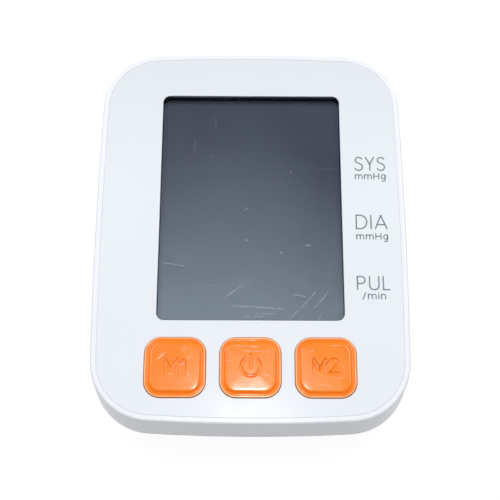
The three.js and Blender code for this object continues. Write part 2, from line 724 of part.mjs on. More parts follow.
function pressureSensor() {
  const outline = roundedRectangle(SENSOR_SIZE, SENSOR_SIZE, 0.5, [SENSOR_X, SENSOR_Y], 1);
  const body = prism(outline, -SOLDER_LEVEL - SENSOR_HEIGHT, -SOLDER_LEVEL);
  const centre = [SENSOR_X, SENSOR_NOZZLE_LEVEL];
  const front = SENSOR_FRONT - NOZZLE_LENGTH;
  const nozzle = bar('y', NOZZLE_RADIUS, front, SENSOR_FRONT + 1, centre, COARSE);
  const bore = bar('y', NOZZLE_BORE, front - 1, SENSOR_FRONT + 2, centre, SMALL);
  return body.add(nozzle).subtract(bore);
}

// Screws, turned about their own axis with the head's underside at zero

function screw(radius, length) {
  const head = 2 * radius + 0.1;
  const slot = box([-head, head], [-0.3, 0.3], [-SCREW_HEAD_HEIGHT - 1, -SCREW_HEAD_HEIGHT + 0.6]);
  const cross = box([-0.3, 0.3], [-head, head], [-SCREW_HEAD_HEIGHT - 1, -SCREW_HEAD_HEIGHT + 0.6]);
  const recess = slot.add(cross).intersect(bar('z', radius, -SCREW_HEAD_HEIGHT - 1, 0, [0, 0], COARSE));
  const blank = turned([
    [0, -SCREW_HEAD_HEIGHT],
    [head * 0.75, -SCREW_HEAD_HEIGHT],
    [head, -SCREW_HEAD_HEIGHT * 0.6],
    [head, 0],
    [radius, 0],
    [radius, length],
    [0, length],
  ], COARSE);
  return blank.subtract(recess);
}

// The rear cover

// Insets of the rear cover's side against the share of its height, from the parting line down
function rearProfile() {
  const profile = [[0, 0], [DRAFT_SHARE, DRAFT_INSET]];
  const steps = 3;
  for (let i = 1; i <= steps; i += 1) {
    const angle = i / steps * Math.PI / 2;
    const share = DRAFT_SHARE + (1 - DRAFT_SHARE) * Math.sin(angle);
    profile.push([share, DRAFT_INSET + BASE_ROUND * (1 - Math.cos(angle))]);
  }
  return profile;
}

function rearRing(inset, share, bottom) {
  return caseOutline(inset).map((point) => {
    const y = point.y * TILT_COS;
    return new THREE.Vector3(point.x, y, THREE.MathUtils.lerp(partingHeight(y), bottom, share));
  });
}

function rearBody(inset, bottom, rise) {
  const rings = rearProfile().map(([share, step]) => rearRing(step + inset, share, bottom));
  const top = rings[0].map((point) => point.clone().setZ(point.z + rise));
  const stack = rise > 0 ? [top, ...rings] : rings;
  return loft(stack.reverse());
}

const REAR_OUTER = rearBody(0, UNDERSIDE_HEIGHT, 0);
const REAR_CAVITY = rearBody(WALL, FLOOR_Z, 2 * LIP_HEIGHT);

// The door is the piece of the rear cover that closes the compartment and wraps its back edge
function doorRoom(growth) {
  const far = FACE_LENGTH;
  const front = COMPARTMENT_FRONT - growth;
  const top = DOOR_TOP + growth;
  const half = DOOR_HALF + growth;
  const plate = box([-half, half], [front, far], [-1, top]);
  const wide = TONGUE_HALF + growth;
  const low = TONGUE_LOW - growth;
  const tongues = box([-wide, wide], [front - DOOR_TONGUE, far], [low, top]);
  const behind = COMPARTMENT_END + GAP - growth;
  const lip = box([-half, half], [behind, far], [-1, DOOR_LIP_HEIGHT + growth]);
  return { plate, tongues, lip };
}

function batteryDoor() {
  const { plate, tongues, lip } = doorRoom(0);
  const shell = REAR_OUTER.subtract(REAR_CAVITY);
  const tongueEnd = box([-FACE_WIDTH, FACE_WIDTH], [-FACE_LENGTH, COMPARTMENT_BACK], [-1, FLOOR_Z]);
  let door = plate.intersect(REAR_OUTER);
  door = door.add(tongues.intersect(tongueEnd)).add(lip.intersect(shell));
  const middle = COMPARTMENT_BACK - RIDGE_PITCH;
  for (let i = 0; i < RIDGE_COUNT; i += 1) {
    const y = middle - i * RIDGE_PITCH;
    const across = [-RIDGE_LENGTH / 2, RIDGE_LENGTH / 2];
    const groove = box(across, [y - 0.5, y + 0.5], [-1, UNDERSIDE_HEIGHT + RIDGE_DEPTH]);
    door = door.subtract(groove);
  }
  return door;
}

function rearCover() {
  const lip = loft([
    rearRing(WALL - LIP_THICKNESS, 0, UNDERSIDE_HEIGHT).map((p) => p.setZ(p.z - 1)),
    rearRing(WALL - LIP_THICKNESS, 0, UNDERSIDE_HEIGHT).map((p) => p.setZ(p.z + LIP_HEIGHT)),
  ]);
  let cover = REAR_OUTER.add(lip).subtract(REAR_CAVITY);
  const add = (part) => {
    cover = cover.add(part.intersect(REAR_OUTER));
  };
  const cut = (part) => {
    cover = cover.subtract(part);
  };

  const railHalf = TONGUE_HALF + GAP + COMPARTMENT_WALL;
  const railFront = COMPARTMENT_FRONT - DOOR_TONGUE - GAP - COMPARTMENT_WALL;
  const railTop = UNDERSIDE_HEIGHT + RAIL_HEIGHT;
  const outside = [-COMPARTMENT_OUTER, COMPARTMENT_OUTER];
  const inside = [-COMPARTMENT_HALF, COMPARTMENT_HALF];
  add(box([-railHalf, railHalf], [railFront, COMPARTMENT_END], [UNDERSIDE_HEIGHT, railTop]));
  add(box(
    outside,
    [COMPARTMENT_FRONT - COMPARTMENT_WALL, COMPARTMENT_END],
    [UNDERSIDE_HEIGHT, ROOF_Z + COMPARTMENT_WALL],
  ));

  for (const spot of CASE_SCREWS) {
    const seat = partingHeight(spot[1]) - CASE_SCREW_SEAT;
    const headRoom = 2 * CASE_SCREW_RADIUS + 0.1 + GAP;
    add(bar('z', headRoom + 1.2, UNDERSIDE_HEIGHT, seat + 2 * CASE_SCREW_SEAT, spot));
    cut(bar('z', headRoom, -1, seat, spot));
    cut(bar('z', CASE_SCREW_RADIUS + GAP, 0, seat + 2 * CASE_SCREW_SEAT, spot, COARSE));
  }

  for (const x of SADDLES) {
    const across = [PUMP_Y - MOTOR_RADIUS, PUMP_Y + MOTOR_RADIUS];
    add(box([x, x + SADDLE_THICKNESS], across, [UNDERSIDE_HEIGHT, PUMP_Z]));
  }
  const fences = [-VALVE_WIDTH / 2 - GAP - 1.5, VALVE_WIDTH / 2 + GAP];
  for (const y of fences) {
    const across = [AIR_Y + y, AIR_Y + y + 1.5];
    const along = [VALVE_LEFT, VALVE_RIGHT];
    add(box(along, across, [UNDERSIDE_HEIGHT, FLOOR_Z + VALVE_HEIGHT / 2]));
  }
  const postTop = AIR_Z - MANIFOLD_SIZE / 2 - GAP;
  add(box([MANIFOLD_X - 3, MANIFOLD_X + 3], [AIR_Y - 2, AIR_Y + 2], [UNDERSIDE_HEIGHT, postTop]));
  add(bar('x', SOCKET_FLANGE + 0.8, -FACE_WIDTH, SOCKET_FLANGE_X - GAP, [AIR_Y, AIR_Z]));
  const jackSeat = JACK_Z - JACK_BODY / 2 - GAP;
  add(box([JACK_X - JACK_DEPTH, JACK_X], [AIR_Y - 2, AIR_Y + 2], [UNDERSIDE_HEIGHT, jackSeat]));

  cut(bar('x', MOTOR_RADIUS + GAP, MOTOR_X, MOTOR_X + MOTOR_LENGTH, PUMP_AXIS));
  cut(bar('x', SOCKET_RADIUS + GAP, -FACE_WIDTH, SOCKET_FLANGE_X, [AIR_Y, AIR_Z]));
  cut(bar('x', SOCKET_FLANGE + GAP, SOCKET_FLANGE_X - GAP, SOCKET_INNER_X, [AIR_Y, AIR_Z]));
  cut(bar('x', JACK_RADIUS + GAP, JACK_X - JACK_DEPTH, FACE_WIDTH, [AIR_Y, JACK_Z]));
  cut(jackBody(GAP));
  for (const [sx, sy] of SCREW_SIGNS) {
    const spot = [sx * FOOT_X, sy * FOOT_Y];
    cut(bar('z', FOOT_RADIUS + GAP, -1, UNDERSIDE_HEIGHT + FOOT_SEAT, spot));
  }
  Object.values(doorRoom(GAP)).forEach(cut);
  const depth = [COMPARTMENT_FRONT, COMPARTMENT_BACK];
  cut(box(inside, depth, [-1, ROOF_Z]));
  return cover;
}

// Cells and contacts

function batteryCell(x, springAtFront) {
  const shoulder = CELL_LENGTH - CELL_NUB_LENGTH;
  const cell = turned([
    [0, 0],
    [CELL_RADIUS - 0.6, 0],
    [CELL_RADIUS, 0.5],
    [CELL_RADIUS, shoulder - 0.5],
    [CELL_RADIUS - 0.6, shoulder],
    [CELL_NUB_RADIUS, shoulder],
    [CELL_NUB_RADIUS, CELL_LENGTH],
    [0, CELL_LENGTH],
  ]);
  const reach = 2 * GAP + CONTACT_THICKNESS;
  const from = COMPARTMENT_FRONT + reach + SPRING_LENGTH;
  const to = COMPARTMENT_BACK - reach - SPRING_LENGTH;
  const laid = springAtFront ? cell.rotate([-90, 0, 0]) : cell.rotate([90, 0, 0]);
  return laid.translate([x, springAtFront ? from : to, CELL_Z]);
}

// A conical spring of wire that stands on a contact plate and points at its cell
function contactSpring(x, end, inward) {
  const points = [];
  const steps = SPRING_TURNS * 6;
  const base = end + inward * (GAP + CONTACT_THICKNESS / 2);
  const reach = SPRING_LENGTH + CONTACT_THICKNESS / 2 - SPRING_WIRE / 2;
  for (let i = 0; i <= steps; i += 1) {
    const share = i / steps;
    const angle = share * SPRING_TURNS * 2 * Math.PI;
    const radius = SPRING_RADIUS * (1 - 0.35 * share);
    points.push(new THREE.Vector3(
      x + radius * Math.cos(angle),
      base + inward * reach * share,
      CELL_Z + radius * Math.sin(angle),
    ));
  }
  return rope(new THREE.CatmullRomCurve3(points), SPRING_WIRE / 2, 5, steps);
}

// A contact plate against one end of the compartment, with springs where cells end in a minus
function contactPlate(end, inward, xs, springs) {
  const near = end + inward * GAP;
  const far = end + inward * (GAP + CONTACT_THICKNESS);
  const along = [Math.min(...xs) - CONTACT_WIDTH / 2, Math.max(...xs) + CONTACT_WIDTH / 2];
  const across = [Math.min(near, far), Math.max(near, far)];
  const upright = [CELL_Z - CONTACT_HEIGHT / 2, CELL_Z + CONTACT_HEIGHT / 2];
  let plate = box(along, across, upright);
  for (const x of springs) plate = plate.add(contactSpring(x, end, inward));
  return plate;
}

// The pump, its motor and its crank

function pumpMotor() {
  const end = MOTOR_X + MOTOR_LENGTH;
  const can = bar('x', MOTOR_RADIUS, MOTOR_X, end - 1.5, PUMP_AXIS);
  const tail = bar('x', MOTOR_RADIUS * 0.6, end - 2, end, PUMP_AXIS);
  const bearing = bar('x', SHAFT_RADIUS + GAP, MOTOR_X - 1, MOTOR_X + MOTOR_LENGTH / 2, PUMP_AXIS, COARSE);
  return can.add(tail).subtract(bearing);
}

function pumpCrank() {
  const room = MOTOR_X - GAP - PUMP_CHAMBER_DEPTH;
  const disc = bar('x', CRANK_RADIUS, room + 2, room + 4, PUMP_AXIS);
  const shaft = [SHAFT_RADIUS, room + 3, MOTOR_X + MOTOR_LENGTH / 2 - GAP];
  const pin = [PUMP_Y, PUMP_Z + CRANK_RADIUS * 0.6];
  const crankPin = bar('x', SHAFT_RADIUS * 0.8, room + GAP, room + 3, pin, COARSE);
  return disc.add(bar('x', ...shaft, PUMP_AXIS, COARSE)).add(crankPin);
}

function pumpHead() {
  const end = MOTOR_X - GAP;
  const room = end - PUMP_CHAMBER_DEPTH;
  let head = bar('x', MOTOR_RADIUS, HEAD_END, end, PUMP_AXIS);
  head = head.subtract(bar('x', PUMP_CHAMBER_RADIUS, room, end + 1, PUMP_AXIS));
  const window = [PUMP_Y - MOTOR_RADIUS - 1, PUMP_Y + MOTOR_RADIUS + 1];
  return head.subtract(box([room + 1, end - 2], window, [PUMP_Z - 2.5, PUMP_Z + 2.5]));
}

function nozzled(body, from, to, spot) {
  const nozzle = bar('x', NOZZLE_RADIUS, from, to, spot, COARSE);
  const bore = bar('x', NOZZLE_BORE, from - 1, to + 2, spot, SMALL);
  return body.add(nozzle).subtract(bore);
}

function pumpValveCap() {
  const end = HEAD_END - GAP;
  const disc = bar('x', MOTOR_RADIUS - 0.4, CAP_END, end, PUMP_AXIS);
  return nozzled(disc, CAP_END - NOZZLE_LENGTH, CAP_END + 1, PUMP_AXIS);
}

function pumpCushion() {
  const middle = MOTOR_X + MOTOR_LENGTH / 2;
  const along = [middle - CUSHION_LENGTH / 2, middle + CUSHION_LENGTH / 2];
  const across = [PUMP_Y - MOTOR_RADIUS * 0.8, PUMP_Y + MOTOR_RADIUS * 0.8];
  const block = box(along, across, [FLOOR_Z + GAP, PUMP_Z - MOTOR_RADIUS * 0.55]);
  return block.subtract(bar('x', MOTOR_RADIUS + GAP, along[0] - 1, along[1] + 1, PUMP_AXIS));
}

// The air line: socket, manifold, release valve and the hoses between them

function airSocket() {
  const axis = [AIR_Y, AIR_Z];
  const barrel = bar('x', SOCKET_RADIUS, -FACE_WIDTH, SOCKET_INNER_X, axis).intersect(
    REAR_OUTER.add(box([SOCKET_FLANGE_X, 0], [-HALF_LENGTH, 0], [0, FACE_TOP_Z])),
  );
  const flange = bar('x', SOCKET_FLANGE, SOCKET_FLANGE_X, SOCKET_FLANGE_X + 1.5, axis);
  const hole = bar('x', SOCKET_BORE, -FACE_WIDTH, SOCKET_INNER_X - 1, axis);
  const body = barrel.add(flange).subtract(hole);
  const nozzle = bar('x', NOZZLE_RADIUS, SOCKET_INNER_X - 0.5, SOCKET_INNER_X + NOZZLE_LENGTH, axis, COARSE);
  const bore = bar('x', NOZZLE_BORE, SOCKET_INNER_X - 2, SOCKET_INNER_X + NOZZLE_LENGTH + 1, axis, SMALL);
  return body.add(nozzle).subtract(bore);
}

function airManifold() {
  const half = MANIFOLD_SIZE / 2;
  const low = AIR_Z - half;
  const outline = roundedRectangle(MANIFOLD_LENGTH, MANIFOLD_SIZE, 1, [MANIFOLD_X, AIR_Y], 2);
  let block = prism(outline, low, low + MANIFOLD_SIZE);
  const span = [MANIFOLD_LEFT - NOZZLE_LENGTH, MANIFOLD_RIGHT + NOZZLE_LENGTH];
  block = block.add(bar('x', NOZZLE_RADIUS, ...span, [AIR_Y, AIR_Z], COARSE));
  block = block.subtract(bar('x', NOZZLE_BORE, span[0] - 1, span[1] + 1, [AIR_Y, AIR_Z], SMALL));
  for (const x of [SENSOR_X, PUMP_PORT_X]) {
    const end = MANIFOLD_BACK + NOZZLE_LENGTH;
    block = block.add(bar('y', NOZZLE_RADIUS, MANIFOLD_BACK - 1, end, [x, AIR_Z], COARSE));
    block = block.subtract(bar('y', NOZZLE_BORE, AIR_Y, end + 1, [x, AIR_Z], SMALL));
  }
  return block;
}

function releaseValve() {
  const low = FLOOR_Z + GAP;
  const half = VALVE_WIDTH / 2;
  const body = box([VALVE_LEFT, VALVE_RIGHT], [AIR_Y - half, AIR_Y + half], [low, low + VALVE_HEIGHT]);
  return nozzled(body, VALVE_LEFT - NOZZLE_LENGTH, VALVE_LEFT + 1, [AIR_Y, AIR_Z]);
}

const ALONG_X = new THREE.Vector3(1, 0, 0);
const ALONG_Y = new THREE.Vector3(0, 1, 0);

function straightHose(from, to) {
  const end = (x) => [new THREE.Vector3(x, AIR_Y, AIR_Z), ALONG_X];
  return hose(end(from + GAP), end(to - GAP), 3);
}

function manifoldEnd(x) {
  return [new THREE.Vector3(x, MANIFOLD_BACK + GAP, AIR_Z), ALONG_Y];
}

function pumpHose() {
  return hose(manifoldEnd(PUMP_PORT_X), [new THREE.Vector3(CAP_END - GAP, ...PUMP_AXIS), ALONG_X], 12);
}

function sensorHose() {
  const end = new THREE.Vector3(SENSOR_X, SENSOR_FRONT - GAP, SENSOR_NOZZLE_LEVEL);
  const into = ALONG_Y.clone().transformDirection(face.matrix);
  return hose(manifoldEnd(SENSOR_X), [end.applyMatrix4(face.matrix), into], 10);
}

// The adaptor socket on the right-hand side

function jackBody(growth) {
  const along = [JACK_X - JACK_DEPTH - growth, JACK_X - GAP + growth];
  const half = JACK_BODY / 2 + growth;
  return box(along, [AIR_Y - half, AIR_Y + half], [JACK_Z - half, JACK_Z + half]);
}

function adaptorJack() {
  const axis = [AIR_Y, JACK_Z];
  const body = jackBody(0);
  const barrel = bar('x', JACK_RADIUS, JACK_X - 1, FACE_WIDTH, axis, COARSE).intersect(
    REAR_OUTER.add(box([0, JACK_X], [-HALF_LENGTH, 0], [0, FACE_TOP_Z])),
  );
  const bottom = JACK_X - JACK_DEPTH + 1.5;
  const hole = bar('x', JACK_BORE, bottom, FACE_WIDTH, axis, COARSE);
  const pin = bar('x', JACK_PIN, bottom - 0.5, JACK_X, axis, COARSE);
  return body.add(barrel).subtract(hole).add(pin);
}

// The whole object

place(face, 'front_cover', frontCover(), WHITE_PLASTIC);
place(face, 'face_panel', facePanel(), WHITE_PANEL);
place(face, 'display_window', prism(windowOutline(-GAP), -LENS_THICKNESS, 0), CLEAR_LENS);
place(face, 'display_gasket', displayGasket(), BLACK_FOAM);
place(face, 'lcd_glass', prism(LCD.outline, -LCD_UNDERSIDE, -LCD_TOP), DISPLAY_GLASS);
place(face, 'lcd_holder', lcdHolder(), NATURAL_PLASTIC);
for (const [name, sign] of [['zebra_strip_upper', 1], ['zebra_strip_lower', -1]]) {
  const strip = prism(zebraOutline(sign, 0), -BOARD_TOP + GAP, -LCD_UNDERSIDE - GAP);
  place(face, name, strip, CONDUCTIVE_RUBBER);
}
for (const { name, x } of BUTTONS) {
  place(face, `${name}_button`, buttonCap(x), ORANGE_PLASTIC);
  place(face, `${name}_switch`, switchHousing(x), BLACK_PLASTIC);
  place(face, `${name}_switch_plunger`, switchPlunger(x), NATURAL_PLASTIC);
}
place(face, 'main_board', mainBoard(), GREEN_BOARD);
place(face, 'controller_chip', controllerChip(), CHIP_PLASTIC);
place(face, 'buzzer', buzzer(), BLACK_PLASTIC);
place(face, 'smoothing_capacitor', hangingBar(CAPACITOR_RADIUS, CAPACITOR_HEIGHT, CAPACITOR_PLACE), STEEL);
place(face, 'pressure_sensor', pressureSensor(), GREY_PLASTIC);
SCREW_SIGNS.forEach(([sx, sy], i) => {
  const mesh = place(face, `board_screw_${i + 1}`, screw(BOARD_SCREW_RADIUS, BOARD_SCREW_LENGTH), STEEL);
  mesh.position.set(sx * BOARD_SCREW_X, sy * BOARD_SCREW_Y, -SOLDER_LEVEL);
});

place(monitor, 'rear_cover', rearCover(), WHITE_PLASTIC);
place(monitor, 'battery_door', batteryDoor(), WHITE_PLASTIC);
CASE_SCREWS.forEach(([x, y], i) => {
  const mesh = place(monitor, `case_screw_${i + 1}`, screw(CASE_SCREW_RADIUS, CASE_SCREW_LENGTH), STEEL);
  mesh.position.set(x, y, partingHeight(y) - CASE_SCREW_SEAT - GAP);
});
SCREW_SIGNS.forEach(([sx, sy], i) => {
  const foot = bar('z', FOOT_RADIUS, 0, UNDERSIDE_HEIGHT + FOOT_SEAT - GAP, [sx * FOOT_X, sy * FOOT_Y]);
  place(monitor, `foot_${i + 1}`, foot, GREY_RUBBER);
});

for (const { name, x, springAtFront } of CELLS) {
  place(monitor, name, batteryCell(x, springAtFront), CELL_JACKET);
}
const [C1, C2, C3, C4] = CELLS.map((cell) => cell.x);
place(monitor, 'negative_terminal', contactPlate(COMPARTMENT_FRONT, 1, [C1], [C1]), NICKEL);
place(monitor, 'positive_terminal', contactPlate(COMPARTMENT_FRONT, 1, [C4], []), NICKEL);
place(monitor, 'front_bridge_contact', contactPlate(COMPARTMENT_FRONT, 1, [C2, C3], [C3]), NICKEL);
place(monitor, 'rear_bridge_contact_1', contactPlate(COMPARTMENT_BACK, -1, [C1, C2], [C2]), NICKEL);
place(monitor, 'rear_bridge_contact_2', contactPlate(COMPARTMENT_BACK, -1, [C3, C4], [C4]), NICKEL);

place(monitor, 'pump_motor', pumpMotor(), STEEL);
place(monitor, 'pump_crank', pumpCrank(), NICKEL);
place(monitor, 'pump_head', pumpHead(), BLACK_PLASTIC);
place(monitor, 'pump_valve_cap', pumpValveCap(), BLACK_PLASTIC);
place(monitor, 'pump_cushion', pumpCushion(), GREY_RUBBER);
place(monitor, 'release_valve', releaseValve(), STEEL);
place(monitor, 'air_socket', airSocket(), GREY_PLASTIC);
place(monitor, 'air_manifold', airManifold(), NATURAL_PLASTIC);
const socketEnd = SOCKET_INNER_X;
place(monitor, 'socket_hose', straightHose(socketEnd, MANIFOLD_LEFT), SILICONE);
place(monitor, 'valve_hose', straightHose(MANIFOLD_RIGHT, VALVE_LEFT), SILICONE);
place(monitor, 'pump_hose', pumpHose(), SILICONE);
place(monitor, 'sensor_hose', sensorHose(), SILICONE);
place(monitor, 'adaptor_jack', adaptorJack(), BLACK_PLASTIC);

export default monitor;
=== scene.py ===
"""A digital upper-arm blood pressure monitor on a table, dressed over its CAD frame."""

import math
from functools import cached_property
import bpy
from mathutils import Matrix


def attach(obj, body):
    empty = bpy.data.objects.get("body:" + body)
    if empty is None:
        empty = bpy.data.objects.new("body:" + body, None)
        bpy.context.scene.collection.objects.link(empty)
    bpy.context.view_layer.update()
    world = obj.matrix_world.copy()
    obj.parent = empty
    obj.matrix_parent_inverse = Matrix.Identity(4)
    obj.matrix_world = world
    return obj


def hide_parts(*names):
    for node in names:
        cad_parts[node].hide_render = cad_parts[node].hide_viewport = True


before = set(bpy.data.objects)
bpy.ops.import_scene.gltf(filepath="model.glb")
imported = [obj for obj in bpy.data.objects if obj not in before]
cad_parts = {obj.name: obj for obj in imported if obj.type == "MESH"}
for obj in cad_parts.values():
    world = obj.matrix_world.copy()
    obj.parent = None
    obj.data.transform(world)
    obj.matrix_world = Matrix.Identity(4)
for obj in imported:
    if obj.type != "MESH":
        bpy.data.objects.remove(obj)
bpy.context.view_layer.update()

from types import SimpleNamespace

import bmesh
import bpy
from mathutils import Matrix, Vector

bl_info = {
    "name": "Blood pressure monitor",
    "version": (1, 0, 0),
    "blender": (4, 5, 0),
    "location": "View3D > Sidebar > Monitor",
    "description": "Builds and finishes a tabletop blood pressure monitor",
    "category": "Object",
}

MM = 0.001
UPRIGHT = Matrix.Identity(4)
QUARTERS = ((1, 1), (-1, 1), (-1, -1), (1, -1))

# Sizes and places that several pieces share, in millimetres
COVER_FLOOR = 1.5
LIP, LIP_HEIGHT = 0.8, 1.5
WINDOW_SEAT = 2
CROWN = 0.8
SCREW_REACH = 10
SCREW_SEAT = 4
BOARD_POSTS = (39.5, 41)
BOARD_TOP, BOARD_SCREW_SEAT = -8.7, -10.9
FEET = (39.5, 38)
AIR_AXIS = (0, -32, 11)
AIR_RADIUS, AIR_COLLAR, AIR_SEAT, AIR_END = 5.5, 6.3, -46, -41
JACK_AXIS = (0, -32, 9)
JACK_RADIUS, JACK_BORE = 4, 2.75
JACK_BODY = ((37, 45.7), (-36.5, -27.5), (4.5, 13.5))
PUMP_AXIS = (0, -14.5, 13.8)
MOTOR_RADIUS = 8
SADDLES = (9.3, 22.7)
VALVE_FENCES = (-39.8, -25.7)
CELL_PITCH, CELL_LEVEL, CELL_LENGTH = 15, 10, 50.2
BAY_HALF, BAY_FRONT, BAY_REAR, BAY_TOP = 29.9, -1.5, 55.1, 17.4
BAY_WALL = 1.5
BAY_BACK = BAY_REAR + BAY_WALL
DOORWAY, DOORWAY_FRONT, DOORWAY_TOP = 31.2, -1.8, 2.9
TONGUE_SLOT, TONGUE_FRONT, TONGUE_LOW = 32.8, -3.4, 1.6
DOOR_LIP_TOP = 9.3
FIT = 0.3
ASIDE, BEYOND = 60, 90
KEY_PLACES = (-1, 0, 1)
KEY_CREST, KEY_GROOVE = -0.5, -1.8


# Settings

def length(name, description, default):
    return bpy.props.FloatProperty(
        name=name, description=description, default=default * MM,
        subtype="DISTANCE", unit="LENGTH", precision=5)


def angle(name, description, degrees):
    return bpy.props.FloatProperty(
        name=name, description=description, default=math.radians(degrees),
        subtype="ANGLE", unit="ROTATION")


def colour(name, description, default):
    return bpy.props.FloatVectorProperty(
        name=name, description=description, default=default,
        subtype="COLOR", size=3, min=0, max=1)


def share(name, description, default):
    return bpy.props.FloatProperty(
        name=name, description=description, default=default,
        subtype="FACTOR", min=0, max=1)


def amount(name, description, default):
    return bpy.props.FloatProperty(name=name, description=description, default=default, min=0)


class CaseSettings(bpy.types.PropertyGroup):
    width: length("Face width", "Across the case", 104.8)
    length: length("Face length", "From the key edge to the top edge, along the face", 133.2)
    corner: length("Corner radius", "Of the case, seen square on to the face", 20)
    side_bow: length("Side bow radius", "How far the long sides bulge", 1780)
    top_bow: length("Top bow radius", "How far the top edge bulges", 760)
    bottom_bow: length("Bottom bow radius", "How far the key edge bulges", 580)
    tilt: angle("Face tilt", "How far the face leans towards the user", 8)
    height: length("Face height", "Of the middle of the face over the table", 35.2667)
    skirt: length("Skirt height", "Of the front cover's upright wall", 12.5)
    wall: length("Wall", "Thickness of both covers", 2.2)
    rim_width: length("Rim width", "From the case's side to the face panel", 2)
    rim_round: length("Rim rounding", "Radius of the rim's outer edge", 0.8)
    draft: length("Draft", "How far the rear cover's side leans in", 4.1)
    draft_part: share("Draft part", "Of the rear cover's height that leans in", 0.76)
    base_round: length("Base rounding", "How far the rear cover's lower edge curves in", 2.3)
    panel: length("Panel thickness", "Of the sheet that lies in the front cover", 1)
    gap: length("Gap", "Clearance between two pieces", 0.3)
    underside: length("Underside height", "Of the rear cover over the table", 1)
    cover_colour: colour("Cover colour", "Of the moulded covers", (0.797, 0.822, 0.858))
    panel_colour: colour("Panel colour", "Of the face panel", (0.761, 0.797, 0.847))
    roughness: share("Cover roughness", "Of the moulded covers", 0.3)
    panel_roughness: share("Panel roughness", "Of the face panel", 0.2)


class DisplaySettings(bpy.types.PropertyGroup):
    width: length("Window width", "Of the opening in the face panel", 61.8)
    length: length("Window length", "Of the opening in the face panel", 82.2)
    corner: length("Window corner", "Radius of the opening's corners", 2.5)
    centre: length("Window place", "Of the window's centre over the face's centre", 8.7)
    # The far and near colours are the two ends of the display's painted reflection.
    far_colour: colour("Far colour", "Of the blank display's far end", (0.049, 0.059, 0.083))
    near_colour: colour("Near colour", "Of the blank display's near end", (0.208, 0.254, 0.292))
    gasket_colour: colour("Gasket colour", "Of the frame behind the window", (0.003, 0.004, 0.009))
    scratch: length("Scratch width", "Of the fine scratches on the window", 0.13)


class KeySettings(bpy.types.PropertyGroup):
    size: length("Key size", "Across one square key", 19.7)
    corner: length("Key corner", "Radius of a key's corners", 5.3)
    pitch: length("Key pitch", "From key to key", 24.3)
    row: length("Key row", "From the face's centre down to the keys", 48.2)
    stroke: length("Sign stroke", "Width of the lines cut into the keys", 1.0)
    depth: length("Sign depth", "Of the lines cut into the keys", 0.42)
    colour: colour("Key colour", "Of the orange keys", (1.0, 0.222, 0.004))
    roughness: share("Key roughness", "Of the orange keys", 0.22)
    # Width of the pale marks on the keys: scuffs, and painted glints at the signs' stroke ends.
    scuff: length("Scuff width", "Of the fine pale scuffs on the keys", 0.18)


class LabelSettings(bpy.types.PropertyGroup):
    ink: colour("Ink colour", "Of the printed labels", (0.150, 0.195, 0.240))
    stroke: length("Stroke", "Width of the large labels' lines", 0.47)
    small_stroke: length("Small stroke", "Width of the small labels' lines", 0.38)
    thickness: length("Ink thickness", "Of the print over the panel", 0.02)


class InsideSettings(bpy.types.PropertyGroup):
    jacket: colour("Cell jacket", "Of the cells' sleeves", (0.030, 0.085, 0.160))
    band: colour("Cell band", "Of the band at a cell's plus end", (0.62, 0.60, 0.55))
    board: colour("Board colour", "Of the circuit board's lacquer", (0.010, 0.110, 0.045))
    rubber: colour("Rubber colour", "Of the feet and the cushion", (0.150, 0.155, 0.165))
    hose: colour("Hose colour", "Of the air hoses", (0.76, 0.74, 0.69))
    socket: colour("Socket colour", "Of the air socket", (0.36, 0.39, 0.42))


class StageSettings(bpy.types.PropertyGroup):
    distance: length("Viewing distance", "From the camera to the face", 354.93)
    tilt: angle("Viewing tilt", "Between the line of sight and the face's normal", 20)
    turn: angle("Viewing turn", "Of the camera about the face's normal", -0.352)
    roll: angle("Viewing roll", "Of the picture", 0.577)
    aim_x: length("Aim across", "Where the line of sight meets the face", -0.24)
    aim_y: length("Aim along", "Where the line of sight meets the face", -8.0)
    lens: amount("Lens", "Focal length in millimetres, on a 36 mm sensor", 76.41)
    sky: amount("Sky", "Strength of the even light from all sides", 0.41)
    side: amount("Side power", "Of the large soft lamp on either side", 4.8)
    glint: amount("Glint power", "Of the small lamp that glints in the keys", 0.66)
    floor: colour("Floor colour", "Of the table", (0.62, 0.62, 0.625))


def settings(context, *names):
    """Groups of settings, with their lengths in millimetres and their colours as tuples."""
    if len(names) > 1:
        return [settings(context, name) for name in names]
    group = getattr(context.scene, f"monitor_{names[0]}")
    values = {}
    for key in group.__annotations__:
        value = getattr(group, key)
        kind = group.bl_rna.properties[key]
        if kind.unit == "LENGTH":
            value = value / MM
        if kind.subtype == "COLOR":
            value = tuple(value)
        values[key] = value
    return SimpleNamespace(**values)


# Shapes, in millimetres until settle() brings them to size

def put(points, faces):
    """A new piece from its points and faces, with its normals outward."""
    mesh = bpy.data.meshes.new("piece")
    mesh.from_pydata(points, [], faces)
    work = bmesh.new()
    work.from_mesh(mesh)
    bmesh.ops.recalc_face_normals(work, faces=work.faces)
    work.to_mesh(mesh)
    work.free()
    piece = bpy.data.objects.new("piece", mesh)
    bpy.context.scene.collection.objects.link(piece)
    return piece


def skin(rings, closed=False):
    """A surface over rings of equal count, capped at its two ends unless it closes on itself."""
    count, levels = len(rings[0]), len(rings)
    points = [point for ring in rings for point in ring]
    faces = []
    for level in range(levels if closed else levels - 1):
        low, high = level * count, (level + 1) % levels * count
        for i in range(count):
            j = (i + 1) % count
            faces.append((low + i, low + j, high + j, high + i))
    if not closed:
        faces.append(tuple(reversed(range(count))))
        faces.append(tuple(range(count * (levels - 1), count * levels)))
    return put(points, faces)


def flat(points, level):
    return [(x, y, level) for x, y in points]


def prism(outline, low, high):
    return skin([flat(outline, low), flat(outline, high)])


def drawn(outline, profile):
    """An outline that grows and shrinks along a profile of growths and levels."""
    return skin([flat(outline(growth), level) for growth, level in profile])


def block(across, along, upright, corner=0.3):
    """A block with round upright edges."""
    (x0, x1), (y0, y1) = across, along
    outline = rounded_rectangle(x1 - x0, y1 - y0, corner, ((x0 + x1) / 2, (y0 + y1) / 2), 3)
    return prism(outline, *upright)


